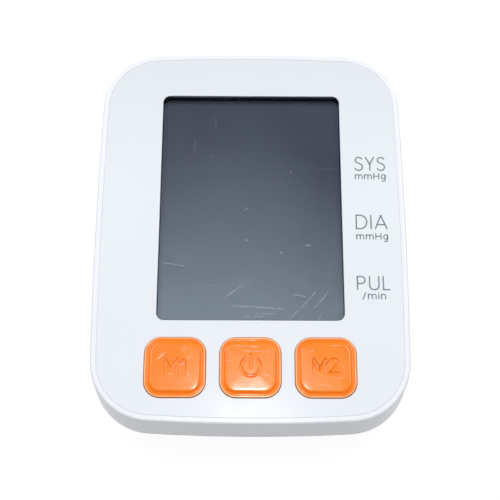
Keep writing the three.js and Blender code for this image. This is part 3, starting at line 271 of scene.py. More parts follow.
def rounded_rectangle(width, depth, radius, centre=(0, 0), steps=8):
    radius = max(0.02, min(radius, width / 2 - 0.01, depth / 2 - 0.01))
    points = []
    for quarter, (sx, sy) in enumerate(QUARTERS):
        for i in range(steps + 1):
            turn = (quarter + i / steps) * math.pi / 2
            points.append((
                centre[0] + sx * (width / 2 - radius) + radius * math.cos(turn),
                centre[1] + sy * (depth / 2 - radius) + radius * math.sin(turn)))
    return points


AXES = {
    "X": Matrix.Rotation(math.pi / 2, 4, "Y"),
    "Y": Matrix.Rotation(-math.pi / 2, 4, "X"),
    "Z": Matrix.Identity(4),
}


def turned(profile, spot=(0, 0, 0), axis="Z", segments=48, closed=False):
    """A piece turned about an axis through a spot, from a profile of radii and heights."""
    rings = []
    for radius, height in profile:
        radius = max(radius, 0.005)
        turns = [2 * math.pi * i / segments for i in range(segments)]
        rings.append([(radius * math.cos(t), radius * math.sin(t), height) for t in turns])
    piece = skin(rings, closed)
    piece.data.transform(Matrix.Translation(spot) @ AXES[axis])
    return piece


def tube(bore, radius, low, high, spot):
    return turned([(bore, low), (radius, low), (radius, high), (bore, high)], spot, closed=True)


def bar(radius, low, high, spot, axis="Z"):
    return turned([(radius, low), (radius, high)], spot, axis)


def bake(piece):
    """Puts a piece's modifiers into its mesh."""
    bpy.context.view_layer.update()
    evaluated = piece.evaluated_get(bpy.context.evaluated_depsgraph_get())
    mesh = bpy.data.meshes.new_from_object(evaluated)
    before = piece.data
    piece.modifiers.clear()
    piece.data = mesh
    bpy.data.meshes.remove(before)


def combine(piece, tool, operation, crossing=False):
    step = piece.modifiers.new(operation, "BOOLEAN")
    step.operation = operation
    step.solver = "EXACT"
    step.use_self = crossing
    step.object = tool
    bake(piece)
    bpy.data.objects.remove(tool)
    if not piece.data.polygons:
        raise RuntimeError(f"nothing is left of the piece after {operation}")
    return piece


def cut(piece, tool, crossing=False):
    return combine(piece, tool, "DIFFERENCE", crossing)


def add(piece, tool):
    return combine(piece, tool, "UNION")


def keep(piece, tool):
    return combine(piece, tool, "INTERSECT")


def join(pieces):
    """One piece from several, each kept as a shell of its own."""
    work = bmesh.new()
    for piece in pieces:
        work.from_mesh(piece.data)
    first = pieces[0]
    work.to_mesh(first.data)
    work.free()
    for piece in pieces[1:]:
        bpy.data.objects.remove(piece)
    return first


def coil(points, radius, sides=12):
    """A round wire along points, with flat ends."""
    points = [Vector(point) for point in points]
    rings = []
    side = None
    for i, point in enumerate(points):
        along = (points[min(i + 1, len(points) - 1)] - points[max(i - 1, 0)]).normalized()
        if side is None:
            side = along.orthogonal().normalized()
        side = (side - along * side.dot(along)).normalized()
        other = along.cross(side)
        turns = [2 * math.pi * k / sides for k in range(sides)]
        rings.append([
            tuple(point + radius * (math.cos(t) * side + math.sin(t) * other)) for t in turns])
    return skin(rings)


def settle(piece, name, body, finishes, nodes=(), place=UPRIGHT, sharp=32, pick=None):
    """Brings a piece to size and place, smooths it, finishes it and lets it ride on its body."""
    piece.name = name
    piece.data.transform(Matrix.Scale(MM, 4) @ place)
    piece.data.shade_smooth()
    piece.data.set_sharp_from_angle(angle=math.radians(sharp))
    step = piece.modifiers.new("Even normals", "WEIGHTED_NORMAL")
    step.keep_sharp = True
    bake(piece)
    mesh = piece.data
    mesh.name = name
    mesh.materials.clear()
    for finish in finishes:
        mesh.materials.append(finish)
    for face in mesh.polygons:
        face.material_index = pick(face.center / MM) if pick else 0
    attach(piece, body)
    if nodes:
        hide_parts(*nodes)
    return piece


def dress(names, finish):
    """Gives CAD nodes that keep their shape a finish."""
    for name in names:
        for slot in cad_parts[name].material_slots:
            slot.material = finish


# The case's outline: four slightly bowed sides joined by round corners

def case_sides(case):
    half_width, half_length = case.width / 2, case.length / 2
    side, top, bottom = case.side_bow, case.top_bow, case.bottom_bow
    return [
        (Vector((half_width - side, 0)), side),
        (Vector((0, half_length - top)), top),
        (Vector((side - half_width, 0)), side),
        (Vector((0, bottom - half_length)), bottom),
    ]


def case_corners(case):
    """The centre of the corner arc that touches each side and the next from inside."""
    sides = case_sides(case)
    radius = case.corner
    corners = []
    for i, (sx, sy) in enumerate(QUARTERS):
        (one, a), (two, b) = sides[i], sides[(i + 1) % 4]
        a, b = a - radius, b - radius
        line = two - one
        distance = line.length
        along = (distance ** 2 + a ** 2 - b ** 2) / (2 * distance)
        across = math.sqrt(a ** 2 - along ** 2)
        line.normalize()
        foot = one + line * along
        aside = Vector((-line.y, line.x)) * across
        corners.append(next(
            spot for spot in (foot + aside, foot - aside) if spot.x * sx > 0 and spot.y * sy > 0))
    return corners


def arc(centre, radius, start, end, steps):
    first = math.atan2(start.y - centre.y, start.x - centre.x)
    turn = (math.atan2(end.y - centre.y, end.x - centre.x) - first) % (2 * math.pi)
    turns = [first + turn * i / steps for i in range(steps)]
    return [(centre.x + radius * math.cos(t), centre.y + radius * math.sin(t)) for t in turns]


def case_outline(case, inset, side_steps=10, corner_steps=14):
    """The outline seen square on to the face, pulled in by an inset."""
    sides, corners = case_sides(case), case_corners(case)
    points = []
    for i, (centre, radius) in enumerate(sides):
        before, corner = corners[i - 1], corners[i]
        after = sides[(i + 1) % 4][0]
        start = corner + (corner - centre).normalized()
        end = corner + (corner - after).normalized()
        points += arc(centre, radius - inset, before, corner, side_steps)
        points += arc(corner, case.corner - inset, start, end, corner_steps)
    return points


def face_frame(case):
    """Places a piece that is drawn on the level face: its middle is the face's."""
    return Matrix.Translation((0, 0, case.height)) @ Matrix.Rotation(case.tilt, 4, "X")


def wall_ring(case, inset, level):
    """A ring of the front cover's wall, which stands upright under the leaning face."""
    slant = level * math.tan(case.tilt)
    return [(x, y + slant, level) for x, y in case_outline(case, inset)]


def parting(case, y):
    """The height of the line between the two covers at a place along the case."""
    return case.height + y * math.tan(case.tilt) - case.skirt


def rear_ring(case, inset, part, bottom, rise=0):
    """A ring of the rear cover, at a part of its height from the parting line down."""
    lean = math.cos(case.tilt)
    points = []
    for x, y in case_outline(case, inset):
        top = parting(case, y * lean)
        points.append((x, y * lean, top + (bottom - top) * part + rise))
    return points


def rear_profile(case, steps=10):
    """Parts of the height and insets of the rear cover's side, from the parting line down."""
    part, draft, curve = case.draft_part, case.draft, case.base_round
    profile = [(0, 0.14), (0.008, 0.07), (0.02, 0.11)]
    profile += [(part * i / 4, draft * i / 4) for i in range(1, 5)]
    for i in range(1, steps + 1):
        turn = i / steps * math.pi / 2
        profile.append((
            part + (1 - part) * math.sin(turn), draft + curve * (1 - math.cos(turn))))
    return profile


def rear_outside(case):
    """Rings of the rear cover's outer side, from the parting line down."""
    return [rear_ring(case, inset, part, case.underside) for part, inset in rear_profile(case)]


def rear_inside(case):
    """Rings of its inner side, from the parting line down to the floor."""
    floor = case.underside + case.wall
    below = [step for step in rear_profile(case) if step[0] > 0.02]
    return [rear_ring(case, inset + case.wall, part, floor) for part, inset in below]


def four_spots(x, y):
    """Mirrored spots, from the near left one round to the far left one."""
    return [(sx * x, sy * y) for sx, sy in QUARTERS[2:] + QUARTERS[:2]]


# Finishes

class Finish:
    """A material, or a world, whose nodes are put down with short calls; places in metres."""

    def __init__(self, name, kind="materials"):
        self.holder = getattr(bpy.data, kind).new(name)
        self.holder.use_nodes = True
        self.tree = self.holder.node_tree
        self.tree.nodes.clear()

    @cached_property
    def place(self):
        return self.put("TexCoord").outputs["Object"]

    def put(self, kind, inputs=None, **options):
        node = self.tree.nodes.new("ShaderNode" + kind)
        for key, value in options.items():
            setattr(node, key, value)
        for key, value in (inputs or {}).items():
            socket = node.inputs[key]
            if isinstance(value, bpy.types.NodeSocket):
                self.tree.links.new(value, socket)
            else:
                socket.default_value = value
        return node

    def stretched(self, scale, turn=(0, 0, 0)):
        values = {"Vector": self.place, "Scale": scale, "Rotation": turn}
        return self.put("Mapping", values).outputs["Vector"]

    def noise(self, scale, detail=3, place=None):
        values = {"Vector": place or self.place, "Scale": scale, "Detail": detail}
        return self.put("TexNoise", values).outputs["Fac"]

    def cells(self, scale, spread=1):
        values = {"Vector": self.place, "Scale": scale, "Randomness": spread}
        return self.put("TexVoronoi", values, feature="F1").outputs["Distance"]

    def wave(self, scale, direction="X", profile="SIN", distortion=0):
        values = {"Vector": self.place, "Scale": scale, "Distortion": distortion}
        return self.put("TexWave", values, bands_direction=direction,
                        wave_profile=profile).outputs["Fac"]

    def span(self, value, low, high, first=0.0, last=1.0, smooth=True):
        values = {"Value": value, "From Min": low, "From Max": high, "To Min": first, "To Max": last}
        kind = "SMOOTHSTEP" if smooth else "LINEAR"
        return self.put("MapRange", values, interpolation_type=kind).outputs["Result"]

    def math(self, operation, one, two=0):
        return self.put("Math", {0: one, 1: two}, operation=operation).outputs[0]

    def axis(self, name):
        return self.put("SeparateXYZ", {0: self.place}).outputs[name]

    def mix(self, factor, one, two):
        one = one if isinstance(one, bpy.types.NodeSocket) else (*one, 1)
        two = two if isinstance(two, bpy.types.NodeSocket) else (*two, 1)
        return self.put("Mix", {0: factor, 6: one, 7: two}, data_type="RGBA").outputs[2]

    def times(self, one, two):
        return self.math("MULTIPLY", one, two)

    def patches(self, scale, detail, low, high, first=0.0, last=1.0, place=None):
        """Soft patches of noise that run from one value to another."""
        return self.span(self.noise(scale, detail, place), low, high, first, last)

    def shades(self, factor, colour, dark, light):
        """A colour that varies between two tones of itself."""
        return self.mix(factor, tone(colour, dark), tone(colour, light))

    def specks(self, scale, size, spread, rare, strength):
        """Scattered dots, kept to a few patches."""
        dots = self.span(self.cells(scale), size, size / 3)
        few = self.patches(spread, 2, rare, rare + 0.08)
        return self.times(self.times(dots, few), strength)

    def bump(self, height, distance, normal=None):
        values = {"Height": height, "Distance": distance * MM}
        if normal is not None:
            values["Normal"] = normal
        return self.put("Bump", values).outputs["Normal"]

    def soft_edge(self, radius):
        return self.put("Bevel", {"Radius": radius * MM}, samples=4).outputs["Normal"]

    def surface(self, **inputs):
        """Ends in a plastic or metal surface; coat_weight sets the input Coat Weight."""
        values = {key.replace("_", " ").title(): value for key, value in inputs.items()}
        colour = values.pop("Colour")
        values["Base Color"] = colour if isinstance(colour, bpy.types.NodeSocket) else (*colour, 1)
        if "Specular Level" in values:
            values["Specular IOR Level"] = values.pop("Specular Level")
        return self.end(self.put("BsdfPrincipled", values))

    def blend(self, part, one, two):
        return self.put("MixShader", {0: part, 1: one.outputs[0], 2: two.outputs[0]})

    def end(self, shader, kind="OutputMaterial"):
        self.put(kind, {"Surface": shader.outputs[0]})
        return self.holder


def tone(colour, factor):
    return tuple(min(1, part * factor) for part in colour)


def finish(name, make, *values):
    """A finish by its name, made where it is first used."""
    return bpy.data.materials.get(name) or make(name, *values)


def moulded_white(name, colour, roughness):
    """White ABS with a fine spark-eroded grain, faint handling marks and a little dust."""
    f = Finish(name)
    patch = f.shades(f.patches(45, 4, 0.35, 0.7), colour, 0.993, 1.005)
    base = f.mix(f.specks(900, 0.06, 70, 0.62, 0.35), patch, tone(colour, 0.55))
    rough = f.patches(30, 2, 0.3, 0.75, roughness - 0.01, roughness + 0.02)
    grain = f.bump(f.noise(3800, 2), 0.004, f.soft_edge(0.12))
    return f.surface(colour=base, roughness=rough, normal=grain, specular_level=0.45,
                     subsurface_weight=0.06, subsurface_radius=(0.0018, 0.0016, 0.0014),
                     subsurface_scale=1.0)


def panel_sheet(name, colour, roughness):
    """The satin face sheet: smoother than the covers, wiped, with painted shade that greys it a
    touch towards its far end.
    """
    f = Finish(name)
    patch = f.shades(f.patches(28, 3, 0.35, 0.7), colour, 0.997, 1.003)
    base = f.mix(f.specks(520, 0.045, 60, 0.6, 0.3), patch, tone(colour, 0.6))
    # Painted shade: the colour greys a touch towards the sheet's far end.
    far = f.span(f.axis("Y"), 0.005, 0.07, 0.0, 0.6)
    base = f.mix(far, base, tone(colour, 0.86))
    hairs = f.patches(260, 5, 0.6, 0.72, place=f.stretched((1, 0.05, 1), (0, 0, 0.6)))
    satin = f.patches(75, 4, 0.3, 0.75, roughness - 0.04, roughness + 0.05)
    rough = f.math("ADD", satin, f.times(hairs, 0.06))
    wiped = f.bump(f.noise(420, 2), 0.004, f.bump(hairs, 0.002))
    return f.surface(colour=base, roughness=rough, normal=wiped, specular_level=0.16)


def window_pane(name):
    """Clear acrylic: it reflects by its angle, smudged near the keys, with hairline scratches."""
    f = Finish(name)
    near = f.span(f.axis("Y"), 0.012, -0.012)
    smudge = f.times(f.patches(130, 5, 0.55, 0.78, 0.0, 0.02), near)
    along = f.stretched((1, 0.03, 1), (0, 0, -0.75))
    across = f.stretched((0.03, 1, 1), (0, 0, 0.06))
    one = f.patches(900, 2, 0.70, 0.78, 0.0, 0.05, along)
    two = f.patches(800, 2, 0.71, 0.79, 0.0, 0.05, across)
    specks = f.times(f.span(f.cells(260), 0.035, 0.012, 0.0, 0.3), f.patches(50, 1, 0.5, 0.6))
    marks = f.math("ADD", f.math("ADD", one, two), specks)
    gloss = f.put("BsdfGlossy", {"Color": (1, 1, 1, 1), "Roughness": 0.04})
    clear = f.put("BsdfTransparent", {"Color": (0.985, 0.99, 1, 1)})
    film = f.put("BsdfDiffuse", {"Color": (0.75, 0.8, 0.86, 1)})
    mirror = f.put("Fresnel", {"IOR": 1.15}).outputs[0]
    haze = f.math("ADD", smudge, marks)
    return f.end(f.blend(haze, f.blend(mirror, clear, gloss), film))


def scratch_mark(name):
    """The pale broken line of a scratch in clear plastic."""
    f = Finish(name)
    broken = f.patches(700, 3, 0.3, 0.65, 0.25, 0.85)
    shade = f.mix(f.noise(500, 2), (0.4, 0.45, 0.5), (0.62, 0.68, 0.74))
    return f.surface(colour=shade, roughness=0.5, alpha=broken)


def black_foam(name, colour):
    f = Finish(name)
    pores = f.cells(2600)
    base = f.shades(f.span(pores, 0.2, 0.6), colour, 0.6, 1.5)
    return f.surface(colour=base, roughness=0.85, normal=f.bump(pores, 0.05), specular_level=0.04)


def blank_display(name, near, far):
    """The blank display: a satin polariser, with a painted reflection that pales it towards its near
    end, painted light that pales its sides against the shade of the window's recess, and darker
    towards its right side.
    """
    f = Finish(name)
    # Painted reflection: the colour runs from the far colour to the paler near colour.
    run = f.math("POWER", f.span(f.axis("Y"), 0.052, -0.034, smooth=False), 1.5)
    cloud = f.patches(26, 4, 0.3, 0.75, -0.04, 0.04)
    # Darker towards the right side.
    lean = f.span(f.axis("X"), 0, 0.03, 0.0, -0.18)
    shade = f.mix(f.math("ADD", f.math("ADD", run, cloud), lean), far, near)
    # Painted light: the sides are paled to cancel the shade of the window's recess.
    sides = f.span(f.math("ABSOLUTE", f.axis("X")), 0.0277, 0.0309, 1.0, 1.48)
    shade = f.put("VectorMath", {0: shade, "Scale": sides}, operation="SCALE").outputs[0]
    rough = f.patches(60, 3, 0.3, 0.7, 0.38, 0.42)
    return f.surface(colour=shade, roughness=rough, specular_level=0.1)


def orange_key(name, colour, roughness):
    """Glossy orange ABS with fine crossing scratches from use."""
    f = Finish(name)
    light = (colour[0], colour[1] * 1.06, colour[2] * 1.4)
    base = f.mix(f.patches(120, 3, 0.3, 0.7), tone(colour, 0.97), light)
    one = f.patches(700, 3, 0.62, 0.76, place=f.stretched((1, 0.05, 1), (0, 0, 0.8)))
    two = f.patches(600, 3, 0.66, 0.8, place=f.stretched((0.05, 1, 1), (0, 0, -0.5)))
    marks = f.math("MAXIMUM", one, two)
    worn = f.mix(f.times(marks, 0.10), base, (1.0, 0.46, 0.18))
    gloss = f.patches(160, 3, 0.3, 0.7, roughness - 0.03, roughness + 0.05)
    rough = f.math("ADD", gloss, f.times(marks, 0.12))
    normal = f.bump(f.noise(500, 2), 0.012, f.bump(marks, 0.004, f.soft_edge(0.1)))
    return f.surface(colour=worn, roughness=rough, normal=normal, specular_level=0.36,
                     coat_weight=0.4, coat_roughness=0.11, subsurface_weight=0.08,
                     subsurface_radius=(0.002, 0.0006, 0.0002), subsurface_scale=1.0)


def groove_shade_orange(name, colour, roughness):
    """The keys' groove: a deeper, more saturated copy of the key orange as painted shade beside the
    paler plateau, rougher and less glossy, with pale lint.
    """
    f = Finish(name)
    # Painted shade: the groove's orange is deeper and more saturated than the plateau's.
    deep = (colour[0], colour[1] * 0.9, colour[2] * 0.5)
    full = (colour[0], colour[1] * 0.94, colour[2])
    base = f.mix(f.patches(140, 3, 0.3, 0.7), deep, full)
    lint = f.span(f.cells(800), 0.05, 0.02, 0.0, 0.25)
    shade = f.mix(lint, base, (1.0, 0.5, 0.25))
    rough = f.patches(200, 3, 0.3, 0.7, roughness + 0.08, roughness + 0.16)
    return f.surface(colour=shade, roughness=rough, normal=f.bump(f.noise(900, 2), 0.004),
                     specular_level=0.16, coat_weight=0.5, coat_roughness=0.11)


def key_scuff_and_glint(name, colour):
    """The pale broken line of a scuff in the keys' gloss, or of a painted glint at a sign's stroke
    end.
    """
    f = Finish(name)
    broken = f.patches(900, 3, 0.3, 0.7, 0.15, 1.0)
    pale = f.mix(f.noise(600, 2), (1.0, 0.5, 0.26), (1.0, 0.8, 0.62))
    shade = f.mix(broken, (colour[0], colour[1] * 1.1, 0.03), pale)
    return f.surface(colour=shade, roughness=0.45, specular_level=0.3)


def printed_ink(name, colour):
    f = Finish(name)
    base = f.shades(f.patches(1500, 3, 0.3, 0.75), colour, 0.9, 1.25)
    return f.surface(colour=base, roughness=0.5, normal=f.bump(f.noise(2500, 2), 0.003))


def rubber(name, colour):
    f = Finish(name)
    bloom = f.shades(f.patches(220, 4, 0.4, 0.8), colour, 0.8, 1.35)
    normal = f.bump(f.noise(2200, 4), 0.03, f.soft_edge(0.15))
    return f.surface(colour=bloom, roughness=0.82, normal=normal, specular_level=0.3,
                     sheen_weight=0.15, sheen_roughness=0.5)


def moulded(name, colour, roughness, glow=0.0):
    """A plain engineering plastic with a moulded grain and shop wear."""
    f = Finish(name)
    base = f.shades(f.patches(180, 4, 0.3, 0.75), colour, 0.88, 1.1)
    rough = f.patches(260, 3, 0.3, 0.7, roughness - 0.06, roughness + 0.08)
    grain = f.bump(f.noise(3000, 3), 0.01, f.soft_edge(0.12))
    return f.surface(colour=base, roughness=rough, normal=grain, subsurface_weight=glow,
                     subsurface_radius=(0.003, 0.0028, 0.0022), subsurface_scale=1.0)


def plated(name, colour, roughness, lines=(1, 1, 0.04)):
    """Sheet or turned metal with drawn lines and stains."""
    f = Finish(name)
    drawn_lines = f.noise(1600, 4, f.stretched(lines))
    base = f.mix(f.patches(160, 4, 0.45, 0.8), colour, tone(colour, 0.72))
    rough = f.span(drawn_lines, 0.3, 0.7, roughness - 0.04, roughness + 0.05)
    normal = f.bump(drawn_lines, 0.0015, f.soft_edge(0.1))
    return f.surface(colour=base, roughness=rough, metallic=1.0, normal=normal)


def circuit_board(name, colour):
    """Green lacquer over copper tracks, with tinned pads in rows."""
    f = Finish(name)
    across = f.span(f.wave(260, "X", "SAW", 1.5), 0.78, 0.86)
    along = f.span(f.wave(230, "Y", "SAW", 2.5), 0.8, 0.88)
    fields = f.span(f.cells(55), 0.3, 0.36)
    track = f.times(f.math("MAXIMUM", across, along), fields)
    pads = f.span(f.cells(390, 0.0), 0.2, 0.16)
    tin = f.times(pads, f.patches(48, 1, 0.56, 0.6))
    shade = f.mix(tin, f.mix(track, colour, tone(colour, 2.2)), (0.66, 0.64, 0.58))
    rough = f.span(tin, 0, 1, 0.32, 0.22)
    normal = f.bump(f.math("ADD", track, tin), 0.03)
    return f.surface(colour=shade, roughness=rough, normal=normal, metallic=tin)


def zebra(name):
    """Silicone with fine black conducting layers across its length."""
    f = Finish(name)
    bands = f.span(f.wave(5200), 0.35, 0.65)
    base = f.mix(bands, (0.012, 0.012, 0.013), (0.62, 0.6, 0.56))
    return f.surface(colour=base, roughness=0.62, normal=f.bump(bands, 0.02))


def milky_hose(name, colour):
    f = Finish(name)
    base = f.shades(f.patches(240, 4, 0.3, 0.75), colour, 0.92, 1.05)
    return f.surface(colour=base, roughness=0.42, normal=f.bump(f.noise(900, 3), 0.02),
                     subsurface_weight=0.5, subsurface_radius=(0.004, 0.0036, 0.003),
                     subsurface_scale=1.0)


def cell_jacket(name, jacket, band, plus, sign):
    """A shrunk printed sleeve: a dark field, a pale band by the plus end and a thin ring."""
    f = Finish(name)
    run = f.times(f.math("SUBTRACT", f.axis("Y"), plus), sign)
    field = f.span(run, 0.0118, 0.0122)
    ring = f.times(f.span(run, 0.0108, 0.0110), f.span(run, 0.0116, 0.0114))
    dark = f.shades(f.patches(300, 3, 0.3, 0.75), jacket, 0.85, 1.15)
    pale = f.math("MAXIMUM", f.math("SUBTRACT", 1.0, field), ring)
    wrinkle = f.bump(f.noise(700, 4, f.stretched((1, 0.25, 1))), 0.02)
    return f.surface(colour=f.mix(pale, dark, band), roughness=0.28, normal=wrinkle,
                     coat_weight=0.35, coat_roughness=0.12)


def white_cover(case):
    return finish("moulded white", moulded_white, case.cover_colour, case.roughness)


def steel():
    return finish("bright steel", plated, (0.60, 0.61, 0.62), 0.3)


def nickel():
    return finish("nickel plate", plated, (0.66, 0.64, 0.59), 0.24, (0.04, 1, 1))


def black_plastic():
    return finish("black plastic", moulded, (0.012, 0.012, 0.013), 0.4)


def grey_rubber(inside):
    return finish("grey rubber", rubber, inside.rubber)


def natural_plastic():
    return finish("natural plastic", moulded, (0.70, 0.69, 0.62), 0.48, 0.15)


# Signs and labels, as pen strokes

def smooth(points, steps=5):
    """Points along a smooth line through the given ones; a line of two stays straight."""
    if len(points) < 3:
        return points
    points = [Vector(point) for point in points]
    ends = [2 * points[0] - points[1], *points, 2 * points[-1] - points[-2]]
    line = []
    for a, b, c, d in zip(ends, ends[1:], ends[2:], ends[3:]):
        for i in range(steps):
            t = i / steps
            line.append(0.5 * (
                2 * b + (c - a) * t + (2 * a - 5 * b + 4 * c - d) * t ** 2
                + (3 * b - a - 3 * c + d) * t ** 3))
    return [*line, points[-1]]


def stroke_outline(points, width, steps=6):
    """The edge of a pen stroke of even width with round ends."""
    points = [Vector(point) for point in points]
    left, right = [], []
    last = len(points) - 1
    for i, point in enumerate(points):
        along = (points[min(i + 1, last)] - points[max(i - 1, 0)]).normalized()
        across = Vector((-along.y, along.x)) * width / 2
        left.append(point + across)
        right.append(point - across)
    edge = [*right]
    for spot, arm in ((points[-1], right[-1] - points[-1]), (points[0], left[0] - points[0])):
        for i in range(1, steps):
            edge.append(spot + arm @ Matrix.Rotation(-math.pi * i / steps, 2))
        if spot is points[-1]:
            edge += reversed(left)
    return [(point.x, point.y) for point in edge]


def pen(line, width, low, high):
    return prism(stroke_outline(line, width), low, high)


# The width and the pen lines of each letter, on a height of 1
LETTERS = {
    "S": (0.60, [((.56, .86), (.46, .95), (.30, 1), (.13, .95), (.05, .80), (.10, .64),
                  (.28, .55), (.45, .47), (.57, .36), (.58, .20), (.48, .05), (.30, 0),
                  (.12, .04), (.01, .15))]),
    "Y": (0.64, [((0, 1), (.32, .46)), ((.64, 1), (.32, .46)), ((.32, .46), (.32, 0))]),
    "D": (0.73, [((0, 0), (0, 1)),
                 ((0, 1), (.22, 1), (.42, .98), (.60, .86), (.70, .68), (.73, .5),
                  (.70, .32), (.60, .14), (.42, .02), (.22, 0), (0, 0))]),
    "I": (0.0, [((0, 0), (0, 1))]),
    "A": (0.80, [((0, 0), (.40, 1)), ((.80, 0), (.40, 1)), ((.12, .3), (.68, .3))]),
    "P": (0.52, [((0, 0), (0, 1)),
                 ((0, 1), (.20, 1), (.37, .97), (.48, .87), (.51, .73), (.48, .59),
                  (.37, .49), (.20, .46), (0, .46))]),
    "U": (0.62, [((0, 1), (0, .6), (0, .34), (.04, .15), (.15, .03), (.31, 0),
                  (.47, .03), (.58, .15), (.62, .34), (.62, .6), (.62, 1))]),
    "L": (0.42, [((0, 1), (0, 0)), ((0, 0), (.42, 0))]),
    "m": (0.96, [((0, 0), (0, .76)),
                 ((0, .5), (.07, .68), (.23, .76), (.40, .70), (.48, .52), (.48, .3), (.48, 0)),
                 ((.48, .5), (.55, .68), (.71, .76), (.88, .70), (.96, .52), (.96, .3),
                  (.96, 0))]),
    "H": (0.72, [((0, 0), (0, 1)), ((.72, 0), (.72, 1)), ((0, .5), (.72, .5))]),
    "g": (0.54, [((.54, .38), (.50, .18), (.38, .04), (.22, 0), (.07, .12), (0, .37),
                  (.07, .63), (.22, .75), (.38, .72), (.50, .58), (.54, .38)),
                 ((.54, .75), (.54, .3), (.54, -.1), (.46, -.34), (.28, -.43), (.06, -.36))]),
    "i": (0.0, [((0, 0), (0, .72)), ((0, .97), (0, 1))]),
    "n": (0.50, [((0, 0), (0, .76)),
                 ((0, .5), (.07, .68), (.24, .76), (.42, .70), (.50, .52), (.50, .3),
                  (.50, 0))]),
    "/": (0.34, [((0, -.08), (.34, 1))]),
    "M": (0.80, [((0, 0), (0, 1)), ((0, 1), (.40, .2)), ((.40, .2), (.80, 1)),
                 ((.80, 1), (.80, 0))]),
    "1": (0.26, [((0, .76), (.26, 1)), ((.26, 1), (.26, 0))]),
    "2": (0.60, [((0, .76), (.07, .92), (.26, 1), (.48, .95), (.57, .77), (.50, .56),
                  (.30, .32), (0, 0)), ((0, 0), (.60, 0))]),
}


def write(text, left, right, low, high, stroke, space=0.28):
    """Pen lines that fill a box with a word, from its outer edges."""
    lines = []
    at = 0
    for letter in text:
        width, strokes = LETTERS[letter]
        for line in strokes:
            lines.append([(at + x, y) for x, y in smooth(line)])
        at += width + space
    end = at - space
    half = stroke / 2
    wide, tall = right - left - stroke, high - low - stroke
    return [
        [(left + half + x / end * wide, low + half + y * tall) for x, y in line]
        for line in lines]


def power_sign(x, y, radius):
    """The lines of the stand-by sign: an open ring and a bar."""
    opening = math.radians(38)
    turns = [math.pi / 2 + opening + (2 * math.pi - 2 * opening) * i / 36 for i in range(37)]
    ring = [(x + radius * math.cos(t), y + radius * math.sin(t)) for t in turns]
    return [ring, [(x, y - 0.1), (x, y + radius + 0.8)]]


# Operators

class FrontCover(bpy.types.Operator):
    """Mould the front cover: a bright rim, tall walls and a recess for the face panel"""
    bl_idname = "monitor.front_cover"
    bl_label = "Front cover"

    def execute(self, context):
        case, display, keys = settings(context, "case", "display", "keys")
        recess = -case.panel - case.gap
        ceiling = recess - COVER_FLOOR
        cover = skin(self.rings(case, recess, ceiling))
        window = window_outline(display, WINDOW_SEAT + case.gap, 8)
        for outline in (window, *(key_outline(keys, x, case.gap) for x in KEY_PLACES)):
            cover = cut(cover, prism(outline, ceiling - 1, 1))
        shells = [cover]
        top = ceiling + 0.4
        for x, y in four_spots(*BOARD_POSTS):
            shells.append(tube(1.3, 2.8, BOARD_TOP, top, (x, y, 0)))
        back = face_frame(case).inverted()
        for x, y in screw_spots(case):
            high = case.height + y * math.tan(case.tilt) + top
            post = tube(1.6, 3.2, parting(case, y) + 0.3, high, (x, y, 0))
            post.data.transform(back)
            shells.append(post)
        settle(join(shells), "moulded_front_cover", "case", [white_cover(case)],
               ["front_cover"], face_frame(case))
        return {"FINISHED"}

    def rings(self, case, recess, ceiling):
        """From the ceiling, down inside and round the lip, up outside and over the rim."""
        lean = math.cos(case.tilt)
        wall, rim, size = case.wall, case.rim_width, case.rim_round
        bottom = -(case.skirt - case.gap) * lean
        lip = bottom + (LIP_HEIGHT + case.gap) * lean
        rebate = wall - LIP - case.gap
        steps = [(wall, ceiling), (wall, lip), (rebate, lip), (rebate, bottom), (0.2, bottom),
                 (0.06, bottom + 0.05), (0, bottom + 0.2), (0, -6), (0, -3)]
        for i in range(9):
            turn = i / 8 * math.pi / 2
            steps.append((size * (1 - math.cos(turn)), -size * (1 - math.sin(turn))))
        inner = ((rim - 0.1, 0), (rim - 0.03, -0.015), (rim, -0.06), (rim, recess))
        return [*(wall_ring(case, *step) for step in steps),
                *(flat(case_outline(case, inset), level) for inset, level in inner)]


def screw_spots(case):
    """The upright axes of the case screws, a little outside the corners' centres."""
    reach = SCREW_REACH / math.sqrt(2)
    return [(corner.x + sx * reach, (corner.y + sy * reach) * math.cos(case.tilt))
            for corner, (sx, sy) in zip(case_corners(case), QUARTERS)]


def key_outline(keys, place, growth):
    size = keys.size + 2 * growth
    centre = (place * keys.pitch, -keys.row)
    return rounded_rectangle(size, size, keys.corner + growth, centre, 12)


def window_outline(display, growth, steps=10):
    return rounded_rectangle(
        display.width + 2 * growth, display.length + 2 * growth,
        display.corner + growth, (0, display.centre), steps)


def key_growth(keys, place, spot):
    """How far a spot lies outside a key's outline; inside it is less than nothing."""
    half, corner = keys.size / 2, keys.corner
    x, y = abs(spot.x - place * keys.pitch), abs(spot.y + keys.row)
    beyond = math.hypot(max(0, x - half + corner), max(0, y - half + corner))
    return beyond - corner if beyond else max(x, y) - half


class FacePanel(bpy.types.Operator):
    """Cut the face panel, with softly rounded edges round the window and the keys"""
    bl_idname = "monitor.face_panel"
    bl_label = "Face panel"

    def execute(self, context):
        case, display, keys = settings(context, "case", "display", "keys")
        edge = case.rim_width + 0.02
        depth = -case.panel
        steps = ((edge, depth), (edge, -0.1), (edge + 0.02, -0.05), (edge + 0.06, -0.018),
                 (edge + 0.12, -0.003), (edge + 0.2, 0))
        panel = skin([flat(case_outline(case, inset), level) for inset, level in steps])
        mouth = ((0, depth - 1), (0, -0.3), (0.03, -0.14), (0.1, -0.04), (0.24, 0.01), (0.3, 0.5))
        panel = cut(panel, drawn(lambda growth: window_outline(display, growth), mouth))
        gap = case.gap / 2
        for x in KEY_PLACES:
            hole = drawn(lambda growth: key_outline(keys, x, gap + growth), mouth)
            panel = cut(panel, hole)
        sheet = finish("face sheet", panel_sheet, case.panel_colour, case.panel_roughness)
        settle(panel, "printed_face_panel", "case", [sheet], ["face_panel"],
               face_frame(case))
        return {"FINISHED"}


